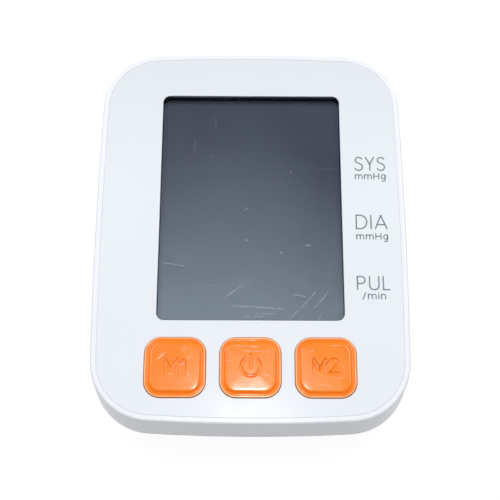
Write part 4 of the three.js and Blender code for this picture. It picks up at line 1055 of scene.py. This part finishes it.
SCRATCHES = [
    [(-29.9, -12.5), (-25.9, -13.1), (-22.3, -13.7)],
    [(-6.0, -27.5), (-1.8, -27.7), (3.1, -28.0), (10.9, -28.5)],
    [(0.1, -30.1), (8.0, -30.3)],
    [(-1.8, -31.0), (4.1, -31.1)],
    [(12.9, -31.9), (15.9, -28.7), (18.4, -26.1), (21.6, -22.5)],
    [(20.8, -28.2), (23.3, -25.6), (25.6, -22.5)],
    [(22.4, -31.9), (23.7, -29.4)],
    [(17.6, -6.1), (20.2, -6.3)],
    [(13.9, -23.5), (15.9, -23.8), (18.1, -24.3)],
    [(-8.8, -25.0), (-5.6, -22.5), (-2.9, -20.3)],
    [(-2.5, 6.3), (-1.8, 6.5), (-1.0, 7.3)],
]
SPECKS = [
    (-17.6, 30.5), (-13.5, 26.5), (7.1, 16.8), (9.2, 2.5), (15.9, -2.6), (-1.4, -4.5),
    (-20.9, -5.4), (-10.5, -24.6), (-3.3, -28.1), (22.4, 12.9), (13.6, 20.5), (10.2, -8.9),
]


class Display(bpy.types.Operator):
    """Put in the window, its gasket and scratches, and finish the display behind it"""
    bl_idname = "monitor.display"
    bl_label = "Display"

    def execute(self, context):
        case, display = settings(context, "case", "display")
        place = face_frame(case)
        edge = ((-0.25, -1.2), (-0.15, -1.1), (-0.15, -0.1), (-0.18, -0.03), (-0.26, 0))
        pane = drawn(lambda growth: window_outline(display, growth), edge)
        settle(pane, "clear_window", "case", [finish("clear acrylic", window_pane)],
               ["display_window"], place)
        foam = finish("black foam", black_foam, display.gasket_colour)
        settle(self.gasket(display), "foam_gasket", "case", [foam],
               ["display_gasket"], place)
        settle(self.scratches(display.scratch), "window_scratches", "case",
               [finish("pale scratch", scratch_mark)], place=place)
        near, far = display.near_colour, display.far_colour
        dress(["lcd_glass"], finish("blank display", blank_display, near, far))
        dress(["lcd_holder"], natural_plastic())
        dress(["zebra_strip_upper", "zebra_strip_lower"], finish("zebra strip", zebra))
        return {"FINISHED"}

    def gasket(self, display):
        """A frame under the window's edge, with a thin lip up beside the window."""
        low, high = -2.8, -1.5
        seat = WINDOW_SEAT
        steps = ((seat, low), (seat, high - 0.1), (seat - 0.1, high), (-0.02, high),
                 (-0.02, -0.3), (-0.05, -0.26), (-0.1, -0.26), (-0.13, -0.3), (-0.13, high))
        opening = rounded_rectangle(
            display.width - 0.3, display.length - 0.55, display.corner,
            (0, display.centre - 0.125), 10)
        rings = [flat(window_outline(display, growth), level) for growth, level in steps]
        return skin([*rings, flat(opening, high), flat(opening, low)], closed=True)

    def scratches(self, width):
        marks = [pen(smooth(line), width, -0.01, 0.01) for line in SCRATCHES]
        for i, (x, y) in enumerate(SPECKS):
            size = width * (1.6 + i % 3 * 0.6)
            marks.append(pen([(x, y), (x + size * 0.4, y + size * 0.2)], size, -0.01, 0.01))
        return join(marks)


# Pale marks on each key: most are scuffs; the short ones at the tops of M1's strokes and at the
# power sign's bar top, ring ends and ring bottom are painted glints.
KEY_SCUFFS_AND_GLINTS = {
    "memory_1": [
        [(-30.2, -45.9), (-28.8, -44.5), (-27.5, -43.3)], [(-29.5, -45.5), (-27.8, -44.0)],
        [(-22.1, -42.9), (-21.3, -42.2), (-20.2, -41.5)], [(-21.9, -41.9), (-21.4, -41.7)],
        [(-21.2, -43.0), (-20.2, -42.2)], [(-20.4, -45.7), (-19.4, -44.8)],
        [(-22.6, -47.6), (-21.9, -46.5), (-21.0, -45.8)], [(-22.1, -47.7), (-21.1, -46.7)],
        [(-20.5, -49.4), (-19.9, -50.6), (-19.0, -51.6)], [(-21.5, -53.2), (-19.3, -52.2)],
        [(-26.0, -50.6), (-25.2, -50.3)], [(-27.8, -45.8), (-27.1, -45.9)],
        [(-24.6, -45.8), (-23.8, -45.9)]],
    "power": [
        [(-5.6, -41.2), (2.5, -41.5)], [(-2.7, -42.8), (3.7, -43.1), (6.2, -43.4)],
        [(5.4, -42.6), (6.5, -43.3)], [(-4.9, -49.7), (-3.8, -49.6)],
        [(-3.9, -53.3), (3.7, -53.1)], [(-2.3, -54.4), (1.8, -54.5)],
        [(-7.1, -51.7), (-4.6, -51.5)], [(3.7, -50.6), (6.3, -51.0)],
        [(-7.8, -46.1), (-5.6, -46.3)], [(-0.2, -44.6), (0.5, -44.7)],
        [(-1.9, -45.9), (-1.2, -45.4)], [(1.6, -45.3), (2.5, -46.0)],
        [(-0.8, -51.0), (1.3, -51.0)], [(-0.5, -50.8), (1.0, -50.8)]],
    "memory_2": [
        [(20.8, -52.3), (21.2, -52.4)], [(29.2, -47.0), (29.5, -47.4)],
        [(29.7, -47.9), (30.2, -48.3)], [(27.7, -51.9), (29.6, -51.4)],
        [(18.9, -43.2), (20.5, -42.7)], [(26.0, -41.0), (29.3, -41.1)],
        [(21.6, -53.7), (25.4, -54.3)]],
}


class Keys(bpy.types.Operator):
    """Mould the three orange keys, each with a lip, a groove, a crown and a sign"""
    bl_idname = "monitor.keys"
    bl_label = "Keys"

    def execute(self, context):
        case, keys = settings(context, "case", "keys")
        stroke = keys.stroke
        row = -keys.row
        signs = {
            "memory_1": (-1, write("M1", -27.83, -20.75, -50.77, -45.31, stroke)),
            "power": (0, power_sign(0.15, row + 0.1, 3.1)),
            "memory_2": (1, write("M2", 19.95, 28.75, -50.57, -45.11, stroke)),
        }
        orange = finish("orange ABS", orange_key, keys.colour, keys.roughness)
        # The groove gets a painted shade: a deeper copy of the key orange.
        groove_shade = finish("unworn orange", groove_shade_orange, keys.colour, keys.roughness)
        # Painted highlight: a pale orange on the crest of each key's lip.
        lip_highlight = finish("rubbed orange", orange_key, (1.0, 0.43, 0.15), 0.14)
        back = face_frame(case).inverted()

        def part(spot):
            """The plateau, the groove round it with its painted shade, or the crest of the lip with
            its painted highlight.
            """
            spot = back @ spot
            growth = min(key_growth(keys, place, spot) for place in KEY_PLACES)
            if KEY_CREST < growth < -0.04 and spot.z > 0.3:
                return 2
            return int(KEY_GROOVE < growth <= KEY_CREST)

        for name, (x, lines) in signs.items():
            key = cut(self.cap(keys, x), self.sign(keys, lines), crossing=True)
            stem = bar(2.4, -4.1, -1, (x * keys.pitch, row, 0))
            settle(join([key, stem]), f"orange_{name}_key", f"{name}_key",
                   [orange, groove_shade, lip_highlight], [f"{name}_button"], face_frame(case), sharp=40,
                   pick=part)
            # Pale marks over each key: scuffs, and painted glints at the signs' stroke ends.
            scuffs_and_glints = [pen(smooth(line), keys.scuff, 0.7, 0.815) for line in KEY_SCUFFS_AND_GLINTS[name]]
            settle(join(scuffs_and_glints), f"{name}_key_scuffs", f"{name}_key",
                   [finish("key scuff", key_scuff_and_glint, keys.colour)], place=face_frame(case))
            dress([f"{name}_switch_plunger"], natural_plastic())
            dress([f"{name}_switch"], black_plastic())
        return {"FINISHED"}

    def sign(self, keys, lines):
        """A cutter for a sign: a rounded groove that opens softly at the crown."""
        deep = CROWN - keys.depth
        steps = ((-0.4, deep), (-0.32, deep + 0.012), (-0.22, deep + 0.04), (-0.12, deep + 0.09),
                 (-0.04, deep + 0.17), (0.04, 0.67), (0.1, 0.74), (0.17, 0.782), (0.26, CROWN),
                 (0.4, 0.9))
        cutters = []
        for line in lines:
            cutters.append(skin([
                flat(stroke_outline(line, keys.stroke + 2 * growth - 0.1), level)
                for growth, level in steps]))
        return join(cutters)

    def cap(self, keys, x):
        """A cap from its ceiling, down round the flange and up over lip, groove and crown."""
        profile = (
            (-1.9, -1.45), (-1.9, -4.1), (1, -4.1), (1, -3.1), (0, -3.1), (0, -1.2),
            (0, 0.1), (-0.02, 0.26), (-0.06, 0.35), (-0.12, 0.394), (-0.27, 0.406),
            (-0.38, 0.406), (-0.46, 0.4), (-0.52, 0.36), (-0.58, 0.29), (-0.66, 0.22),
            (-0.78, 0.187), (-0.95, 0.175), (-1.15, 0.18), (-1.35, 0.22), (-1.5, 0.3), (-1.65, 0.41),
            (-1.8, 0.53), (-1.95, 0.625), (-2.1, 0.685), (-2.25, 0.714), (-2.4, 0.7285),
            (-2.65, 0.739), (-4, 0.755), (-6, 0.78), (-8, CROWN))
        return drawn(lambda growth: key_outline(keys, x, growth), profile)


class Labels(bpy.types.Operator):
    """Print the three readings' names and units beside the window"""
    bl_idname = "monitor.labels"
    bl_label = "Labels"

    def execute(self, context):
        case, labels = settings(context, "case", "labels")
        big, small = labels.stroke, labels.small_stroke
        words = [
            ("SYS", 35.56, 46.24, 21.11, 26.49, big, 0.26),
            ("mmHg", 35.64, 46.23, 17.96, 20.37, small, 0.36),
            ("DIA", 35.38, 46.12, -0.38, 4.90, big, 0.30),
            ("mmHg", 35.43, 46.18, -4.10, -1.70, small, 0.36),
            ("PUL", 35.12, 46.22, -21.96, -16.96, big, 0.30),
            ("/min", 36.83, 44.66, -25.09, -22.64, small, 0.34),
        ]
        marks = []
        for text, left, right, low, high, stroke, space in words:
            for line in write(text, left, right, low, high, stroke, space):
                marks.append(pen(line, stroke, -0.03, labels.thickness))
        ink = finish("label ink", printed_ink, labels.ink)
        settle(join(marks), "printed_labels", "case", [ink], place=face_frame(case))
        return {"FINISHED"}


class RearCover(bpy.types.Operator):
    """Mould the rear cover with its battery compartment, screw wells and socket holes"""
    bl_idname = "monitor.rear_cover"
    bl_label = "Rear cover"

    def execute(self, context):
        case = settings(context, "case")
        base = case.underside
        cover = self.compartment(self.shell(case), base + 0.4)
        cover = self.sockets(self.screw_wells(case, cover))
        recess = [(5.1, base - 0.5), (5, base), (4.8, base + 0.15), (4.8, base + 0.6)]
        for x, y in sorted(four_spots(*FEET)):
            cover = cut(cover, turned(recess, (x, y, 0)))
        cover = self.doorway(cover)
        shells = [cover, *self.ribs(base + 0.5)]
        settle(join(shells), "moulded_rear_cover", "case", [white_cover(case)],
               ["rear_cover"])
        return {"FINISHED"}

    def shell(self, case):
        """From the inner floor up to the lip, and down outside to the underside."""
        wall, base = case.wall, case.underside
        lip = ((wall, 0), (wall, LIP_HEIGHT), (wall - LIP, LIP_HEIGHT), (wall - LIP, 0))
        return skin([
            *reversed(rear_inside(case)),
            *(rear_ring(case, inset, 0, base, rise) for inset, rise in lip),
            *rear_outside(case)])

    def compartment(self, cover, low):
        """Walls round the cells' bay, on a wider flange that holds the door's tongues."""
        flange, half = TONGUE_SLOT + BAY_WALL, BAY_HALF + BAY_WALL
        rim = block((-flange, flange), (TONGUE_FRONT - BAY_WALL, BAY_BACK), (low, 4.6), 1.5)
        walls = block((-half, half), (BAY_FRONT - BAY_WALL, BAY_BACK), (low, BAY_TOP + BAY_WALL), 2)
        return add(add(cover, rim), walls)

    def screw_wells(self, case, cover):
        """A post round each case screw, with a well for its head and a hole above."""
        base = case.underside
        for x, y in screw_spots(case):
            spot = (x, y, 0)
            seat = parting(case, y) - SCREW_SEAT
            well = [(3.35, base - 0.5), (3.3, base), (3, base + 0.3), (3, seat)]
            cover = add(cover, bar(4.2, base + 0.4, seat + 3.7, spot))
            cover = cut(cover, turned(well, spot))
            cover = cut(cover, bar(1.6, seat - 1, seat + 6, spot))
        return cover

    def sockets(self, cover):
        """A boss with the air socket's seat on the left, and the jack's room on the right."""
        seat = AIR_SEAT - FIT
        cover = add(cover, bar(AIR_COLLAR + 0.8, -49, seat, AIR_AXIS, "X"))
        cover = cut(cover, bar(AIR_RADIUS + FIT, -ASIDE, AIR_SEAT, AIR_AXIS, "X"))
        cover = cut(cover, bar(AIR_COLLAR + FIT, seat, AIR_END, AIR_AXIS, "X"))
        cover = cut(cover, bar(JACK_RADIUS + FIT, 37, ASIDE, JACK_AXIS, "X"))
        return cut(cover, block(*((low - FIT, high + FIT) for low, high in JACK_BODY)))

    def doorway(self, cover):
        """Room for the door, its side tongues and its rear lip, and the bay above."""
        for half, along, upright in (
                (DOORWAY, (DOORWAY_FRONT, BEYOND), (-1, DOORWAY_TOP)),
                (TONGUE_SLOT, (TONGUE_FRONT, BEYOND), (TONGUE_LOW, DOORWAY_TOP)),
                (DOORWAY, (BAY_BACK, BEYOND), (-1, DOOR_LIP_TOP))):
            cover = cut(cover, block((-half, half), along, upright))
        return cut(cover, block((-BAY_HALF, BAY_HALF), (BAY_FRONT, BAY_REAR), (-1, BAY_TOP), 1))

    def ribs(self, low):
        """Two saddles for the pump, two fences for the valve, rests for manifold and jack."""
        middle, level = PUMP_AXIS[1:]
        across = (middle - MOTOR_RADIUS, middle + MOTOR_RADIUS)
        saddles = [block((x, x + 1.6), across, (low, level)) for x in SADDLES]
        rest = (AIR_AXIS[1] - 2, AIR_AXIS[1] + 2)
        return [
            *(cut(saddle, bar(MOTOR_RADIUS + FIT, 5, 28, PUMP_AXIS, "X")) for saddle in saddles),
            *(block((-10, 8), (y, y + 1.5), (low, 9.2)) for y in VALVE_FENCES),
            block((-30, -24), rest, (low, 7.7)),
            block((37, 46), rest, (low, 4.2))]


class BatteryDoor(bpy.types.Operator):
    """Mould the battery door, with finger grooves, side tongues and a lip up the back"""
    bl_idname = "monitor.battery_door"
    bl_label = "Battery door"

    def execute(self, context):
        case = settings(context, "case")
        base, gap = case.underside, FIT
        half, top = DOORWAY - gap, DOORWAY_TOP - gap
        tongue = TONGUE_SLOT - gap
        sheet = block((-half, half), (DOORWAY_FRONT + gap, BEYOND), (-1, top), 0.8)
        door = keep(sheet, skin(rear_outside(case)))
        hollow = skin([rear_ring(case, case.wall, 0, base, 3), *rear_inside(case)])
        room = block((-half, half), (BAY_BACK + gap, BEYOND), (-1, DOOR_LIP_TOP - gap), 0.8)
        door = add(door, keep(cut(skin(rear_outside(case)), hollow), room))
        door = add(door, block(
            (-tongue, tongue), (TONGUE_FRONT + gap, BAY_REAR), (TONGUE_LOW + gap, top), 0.6))
        groove = ((0.35, base - 1), (0, base + 0.05), (-0.18, base + 0.3), (-0.32, base + 0.5))
        for i in range(5):
            y = 53.1 - 2 * i
            door = cut(door, drawn(
                lambda growth: rounded_rectangle(22 + 2 * growth, 1 + 2 * growth, 0.5, (0, y)),
                groove))
        settle(door, "moulded_battery_door", "battery_cover", [white_cover(case)],
               ["battery_door"])
        return {"FINISHED"}


class Feet(bpy.types.Operator):
    """Press four domed rubber feet into the underside"""
    bl_idname = "monitor.feet"
    bl_label = "Feet"

    def execute(self, context):
        grey = grey_rubber(settings(context, "inside"))
        profile = [(3.7, 0), (4.05, 0.04), (4.3, 0.16), (4.45, 0.34), (4.5, 0.55), (4.5, 1.3)]
        for i, (x, y) in enumerate(four_spots(*FEET)):
            foot = turned(profile, (x, y, 0), segments=56)
            settle(foot, f"rubber_foot_{i + 1}", "case", [grey], [f"foot_{i + 1}"])
        return {"FINISHED"}


class Screws(bpy.types.Operator):
    """Turn the four case screws and the four board screws, with cross recesses"""
    bl_idname = "monitor.screws"
    bl_label = "Screws"

    def execute(self, context):
        case = settings(context, "case")
        for i, (x, y) in enumerate(screw_spots(case)):
            screw = self.screw(1.3, 12)
            spot = Matrix.Translation((x, y, parting(case, y) - SCREW_SEAT - 0.3))
            settle(screw, f"steel_case_screw_{i + 1}", "case", [steel()],
                   [f"case_screw_{i + 1}"], spot)
        for i, (x, y) in enumerate(four_spots(*BOARD_POSTS)):
            screw = self.screw(1, 6)
            spot = face_frame(case) @ Matrix.Translation((x, y, BOARD_SCREW_SEAT))
            settle(screw, f"steel_board_screw_{i + 1}", "case", [steel()],
                   [f"board_screw_{i + 1}"], spot)
        return {"FINISHED"}

    def screw(self, radius, reach):
        """A pan-head screw with its thread, pointing up from the seat of its head."""
        head, core = 2 * radius + 0.1, 0.8 * radius
        profile = [(head * 0.6, -1.8), (head * 0.8, -1.72), (head * 0.94, -1.4), (head, -0.9),
                   (head, -0.15), (head - 0.1, 0), (core, 0)]
        level = 0.3
        while level < reach - 0.7:
            profile += [(core, level), (radius, level + 0.18), (core, level + 0.36)]
            level += 0.5
        profile += [(radius * 0.7, reach - 0.3), (radius * 0.2, reach)]
        blank = turned(profile, segments=36)
        for wide, deep in ((1.7 * radius, 0.42), (0.42, 1.7 * radius)):
            blank = cut(blank, drawn(
                lambda growth: rounded_rectangle(wide + growth, deep + growth, 0.1),
                ((0.05, -2.2), (0.05, -1.75), (-0.08, -1))))
        return blank


class Cells(bpy.types.Operator):
    """Put in the four cells, each a printed sleeve between two steel ends"""
    bl_idname = "monitor.cells"
    bl_label = "Cells"

    def execute(self, context):
        inside = settings(context, "inside")
        profile = [
            (4.6, 0.12), (4.8, 0), (6.3, 0), (6.5, 0.16), (6.62, 0.1), (6.9, 0.16), (7.1, 0.5),
            (7.1, 1.2), (7.1, 25), (7.1, 47.8), (7.1, 48.3), (6.9, 48.64), (6.62, 48.72),
            (6.5, 48.5), (6.3, 48.45), (3.4, 48.55), (2.8, 48.8), (2.6, 49.1), (2.6, 49.95),
            (2.45, CELL_LENGTH)]
        ways = ((3.3, 1), (50.3, -1))
        for i in range(4):
            x = (i - 1.5) * CELL_PITCH
            start, toward = ways[i % 2]
            cell = turned(profile, segments=64)
            turn = Matrix.Rotation(-toward * math.pi / 2, 4, "X")
            cell.data.transform(Matrix.Translation((x, start, CELL_LEVEL)) @ turn)
            plus = (start + toward * CELL_LENGTH) * MM
            sleeve = finish(f"cell sleeve {i + 1}", cell_jacket, inside.jacket, inside.band,
                            plus, -toward)
            settle(cell, f"printed_cell_{i + 1}", "case", [sleeve, steel()],
                   [f"battery_cell_{i + 1}"],
                   pick=lambda spot: int(math.hypot(spot.x - x, spot.z - CELL_LEVEL) < 6.55))
        return {"FINISHED"}


class Contacts(bpy.types.Operator):
    """Bend the contact plates and wind their springs"""
    bl_idname = "monitor.contacts"
    bl_label = "Contacts"

    def execute(self, context):
        plates = {
            "negative_terminal": (BAY_FRONT, 1, [-22.5], [-22.5]),
            "positive_terminal": (BAY_FRONT, 1, [22.5], []),
            "front_bridge_contact": (BAY_FRONT, 1, [-7.5, 7.5], [7.5]),
            "rear_bridge_contact_1": (BAY_REAR, -1, [-22.5, -7.5], [-7.5]),
            "rear_bridge_contact_2": (BAY_REAR, -1, [7.5, 22.5], [22.5]),
        }
        boss = [(3.4, 0.3), (3.2, 0.55), (2.6, 0.9), (1.6, 1.05), (0.8, 1.07)]
        for name, (end, inward, places, springs) in plates.items():
            middle = (places[0] + places[-1]) / 2
            width = places[-1] - places[0] + 10
            outline = rounded_rectangle(width, 10, 1.2, (middle, CELL_LEVEL))
            shells = [skin([
                [(x, end + inward * depth, z) for x, z in outline] for depth in (0.3, 0.8)])]
            for x in places:
                if x in springs:
                    shells.append(self.spring(x, end, inward))
                else:
                    steps = [(radius, inward * depth) for radius, depth in boss]
                    shells.append(turned(steps, (x, end, CELL_LEVEL), "Y"))
            settle(join(shells), f"plated_{name}", "case", [nickel()], [name])
        return {"FINISHED"}

    def spring(self, x, end, inward):
        """Three and a half turns that narrow towards the cell, flat at both ends."""
        steps = 84
        points = []
        for i in range(steps + 1):
            part = i / steps
            rise = max(0, min(1, (part - 0.12) / 0.76))
            turn = part * 3.5 * 2 * math.pi
            radius = 3.6 * (1 - 0.35 * part)
            points.append((
                x + radius * math.cos(turn), end + inward * (0.55 + 4.05 * rise),
                CELL_LEVEL + radius * math.sin(turn)))
        return coil(points, 0.4)


class Board(bpy.types.Operator):
    """Finish the circuit board and what is soldered to it"""
    bl_idname = "monitor.board"
    bl_label = "Board"

    def execute(self, context):
        inside = settings(context, "inside")
        dress(["main_board"], finish("green lacquer", circuit_board, inside.board))
        dress(["controller_chip", "buzzer"], black_plastic())
        dress(["smoothing_capacitor"], steel())
        dress(["pressure_sensor"], finish("grey sensor case", moulded, (0.32, 0.34, 0.36), 0.42))
        return {"FINISHED"}


class Pump(bpy.types.Operator):
    """Finish the pump, its motor, crank and cushion"""
    bl_idname = "monitor.pump"
    bl_label = "Pump"

    def execute(self, context):
        inside = settings(context, "inside")
        dress(["pump_motor", "release_valve"], steel())
        dress(["pump_crank"], nickel())
        dress(["pump_head", "pump_valve_cap"], black_plastic())
        dress(["pump_cushion"], grey_rubber(inside))
        return {"FINISHED"}


class AirLine(bpy.types.Operator):
    """Finish the manifold and the four hoses"""
    bl_idname = "monitor.air_line"
    bl_label = "Air line"

    def execute(self, context):
        inside = settings(context, "inside")
        milky = finish("milky silicone", milky_hose, inside.hose)
        dress(["socket_hose", "valve_hose", "pump_hose", "sensor_hose"], milky)
        dress(["air_manifold"], natural_plastic())
        return {"FINISHED"}


class Sockets(bpy.types.Operator):
    """Turn the air socket on the left and the adaptor jack on the right"""
    bl_idname = "monitor.sockets"
    bl_label = "Sockets"

    def execute(self, context):
        case, inside = settings(context, "case", "inside")
        outer, collar = AIR_RADIUS, AIR_COLLAR
        mouth = [
            (4.0, -42), (4.0, -49.6), (4.1, -51), (4.4, -ASIDE), (outer, -ASIDE), (outer, AIR_SEAT),
            (collar, AIR_SEAT), (collar, -44.5), (outer, -44.5), (outer, AIR_END),
            (1.5, AIR_END), (1.5, -37.7), (1.3, -37.5), (0.7, -37.5), (0.7, -42)]
        socket = keep(turned(mouth, AIR_AXIS, "X", 64, closed=True), skin(rear_outside(case)))
        grey = finish("grey socket", moulded, inside.socket, 0.38)
        settle(socket, "turned_air_socket", "case", [grey], ["air_socket"])
        bore, outer = JACK_BORE, JACK_RADIUS
        mouth = [(bore, 38.5), (bore, 50.4), (2.9, ASIDE), (outer, ASIDE), (outer, 45), (3, 45),
                 (3, 38.5)]
        barrel = keep(turned(mouth, JACK_AXIS, "X", closed=True), skin(rear_outside(case)))
        body = cut(block(*JACK_BODY, 0.6), bar(bore, 38.5, 50, JACK_AXIS, "X"))
        pin = turned([(1, 38), (1, 45.4), (0.8, 45.8), (0.4, 46)], JACK_AXIS, "X", 24)

        def part(spot):
            """The body with its barrel, or the pin."""
            off = math.hypot(spot.y - JACK_AXIS[1], spot.z - JACK_AXIS[2])
            return int(off < 1.3 and spot.x > 38.6)

        settle(join([body, barrel, pin]), "moulded_adaptor_jack", "case",
               [black_plastic(), nickel()], ["adaptor_jack"], pick=part)
        return {"FINISHED"}


class Stage(bpy.types.Operator):
    """Set the floor, the lamps and the camera"""
    bl_idname = "monitor.stage"
    bl_label = "Stage"

    def execute(self, context):
        scene = context.scene
        stage = settings(context, "stage")
        place = face_frame(settings(context, "case"))
        self.floor(stage.floor)
        scene.world = self.world(stage.sky)
        large, small = 0.6, 0.03
        for name, x in (("left", -0.55), ("right", 0.55)):
            self.lamp(name, stage.side, large, Vector((x, 0.3, 0.95)))
        self.lamp("glint", stage.glint, small, place @ Vector((0, 45, 684)) * MM)
        view = place @ Matrix.Translation((stage.aim_x, stage.aim_y, 0))
        for turn, axis in ((stage.turn, "Z"), (stage.tilt, "X"), (stage.roll, "Z")):
            view = view @ Matrix.Rotation(turn, 4, axis)
        view = view @ Matrix.Translation((0, 0, stage.distance))
        view.translation *= MM
        data = bpy.data.cameras.new("photo camera")
        data.lens = stage.lens
        data.sensor_width = 36
        data.sensor_fit = "HORIZONTAL"
        data.clip_start = 0.01
        camera = bpy.data.objects.new("photo_camera", data)
        camera.matrix_world = view
        scene.collection.objects.link(camera)
        scene.camera = camera
        scene.view_settings.view_transform = "Standard"
        return {"FINISHED"}

    def floor(self, colour):
        half = 2.5
        floor = put(flat(four_spots(half, half), 0), [(0, 1, 2, 3)])
        floor.name = "floor"
        f = Finish("pale table")
        paint = f.put("BsdfDiffuse", {"Color": f.shades(f.noise(12, 3), colour, 0.995, 1.005)})
        white = f.put("Emission", {"Color": (1, 1, 1, 1), "Strength": 1.1})
        seen = f.put("LightPath").outputs
        direct = f.math("MAXIMUM", seen["Is Camera Ray"], seen["Is Glossy Ray"])
        direct = f.math("MAXIMUM", direct, seen["Is Transmission Ray"])
        floor.data.materials.append(f.end(f.blend(f.times(direct, 0.85), paint, white)))

    def world(self, strength):
        """White where the camera sees it, and a dimmer even light on the monitor."""
        f = Finish("soft studio", "worlds")
        light = f.put("Background", {"Color": (0.985, 0.99, 1, 1), "Strength": strength})
        white = f.put("Background", {"Color": (1, 1, 1, 1), "Strength": 1.0})
        seen = f.put("LightPath").outputs
        direct = f.math("MAXIMUM", seen["Is Camera Ray"], seen["Is Transmission Ray"])
        return f.end(f.blend(direct, light, white), "OutputWorld")

    def lamp(self, name, power, size, spot):
        """A soft round lamp that aims at the monitor and is hidden from the camera."""
        data = bpy.data.lights.new(name, "AREA")
        data.shape = "DISK"
        data.size = size
        data.energy = power
        lamp = bpy.data.objects.new(f"{name}_lamp", data)
        lamp.location = spot
        aim = Vector((0, -0.02, 0.03)) - spot
        lamp.rotation_euler = aim.to_track_quat("-Z", "Y").to_euler()
        lamp.visible_camera = False
        bpy.context.scene.collection.objects.link(lamp)


STEPS = (FrontCover, FacePanel, Display, Keys, Labels, RearCover, BatteryDoor, Feet, Screws,
         Cells, Contacts, Board, Pump, AirLine, Sockets, Stage)
SETTINGS = {
    "monitor_case": CaseSettings,
    "monitor_display": DisplaySettings,
    "monitor_keys": KeySettings,
    "monitor_labels": LabelSettings,
    "monitor_inside": InsideSettings,
    "monitor_stage": StageSettings,
}


class MonitorPanel(bpy.types.Panel):
    """The monitor's settings and the steps that build it"""
    bl_idname = "VIEW3D_PT_monitor"
    bl_label = "Blood pressure monitor"
    bl_space_type = "VIEW_3D"
    bl_region_type = "UI"
    bl_category = "Monitor"

    def draw(self, context):
        for name in SETTINGS:
            group = getattr(context.scene, name)
            box = self.layout.box()
            for key in group.__annotations__:
                box.prop(group, key)
        for step in STEPS:
            self.layout.operator(step.bl_idname)


def register():
    for kind in (*SETTINGS.values(), *STEPS, MonitorPanel):
        bpy.utils.register_class(kind)
    for name, kind in SETTINGS.items():
        setattr(bpy.types.Scene, name, bpy.props.PointerProperty(type=kind))


def unregister():
    for name in SETTINGS:
        delattr(bpy.types.Scene, name)
    for kind in reversed((*SETTINGS.values(), *STEPS, MonitorPanel)):
        bpy.utils.unregister_class(kind)


def main():
    register()
    for step in STEPS:
        family, name = step.bl_idname.split(".")
        getattr(getattr(bpy.ops, family), name)()


if __name__ == "__main__":
    main()
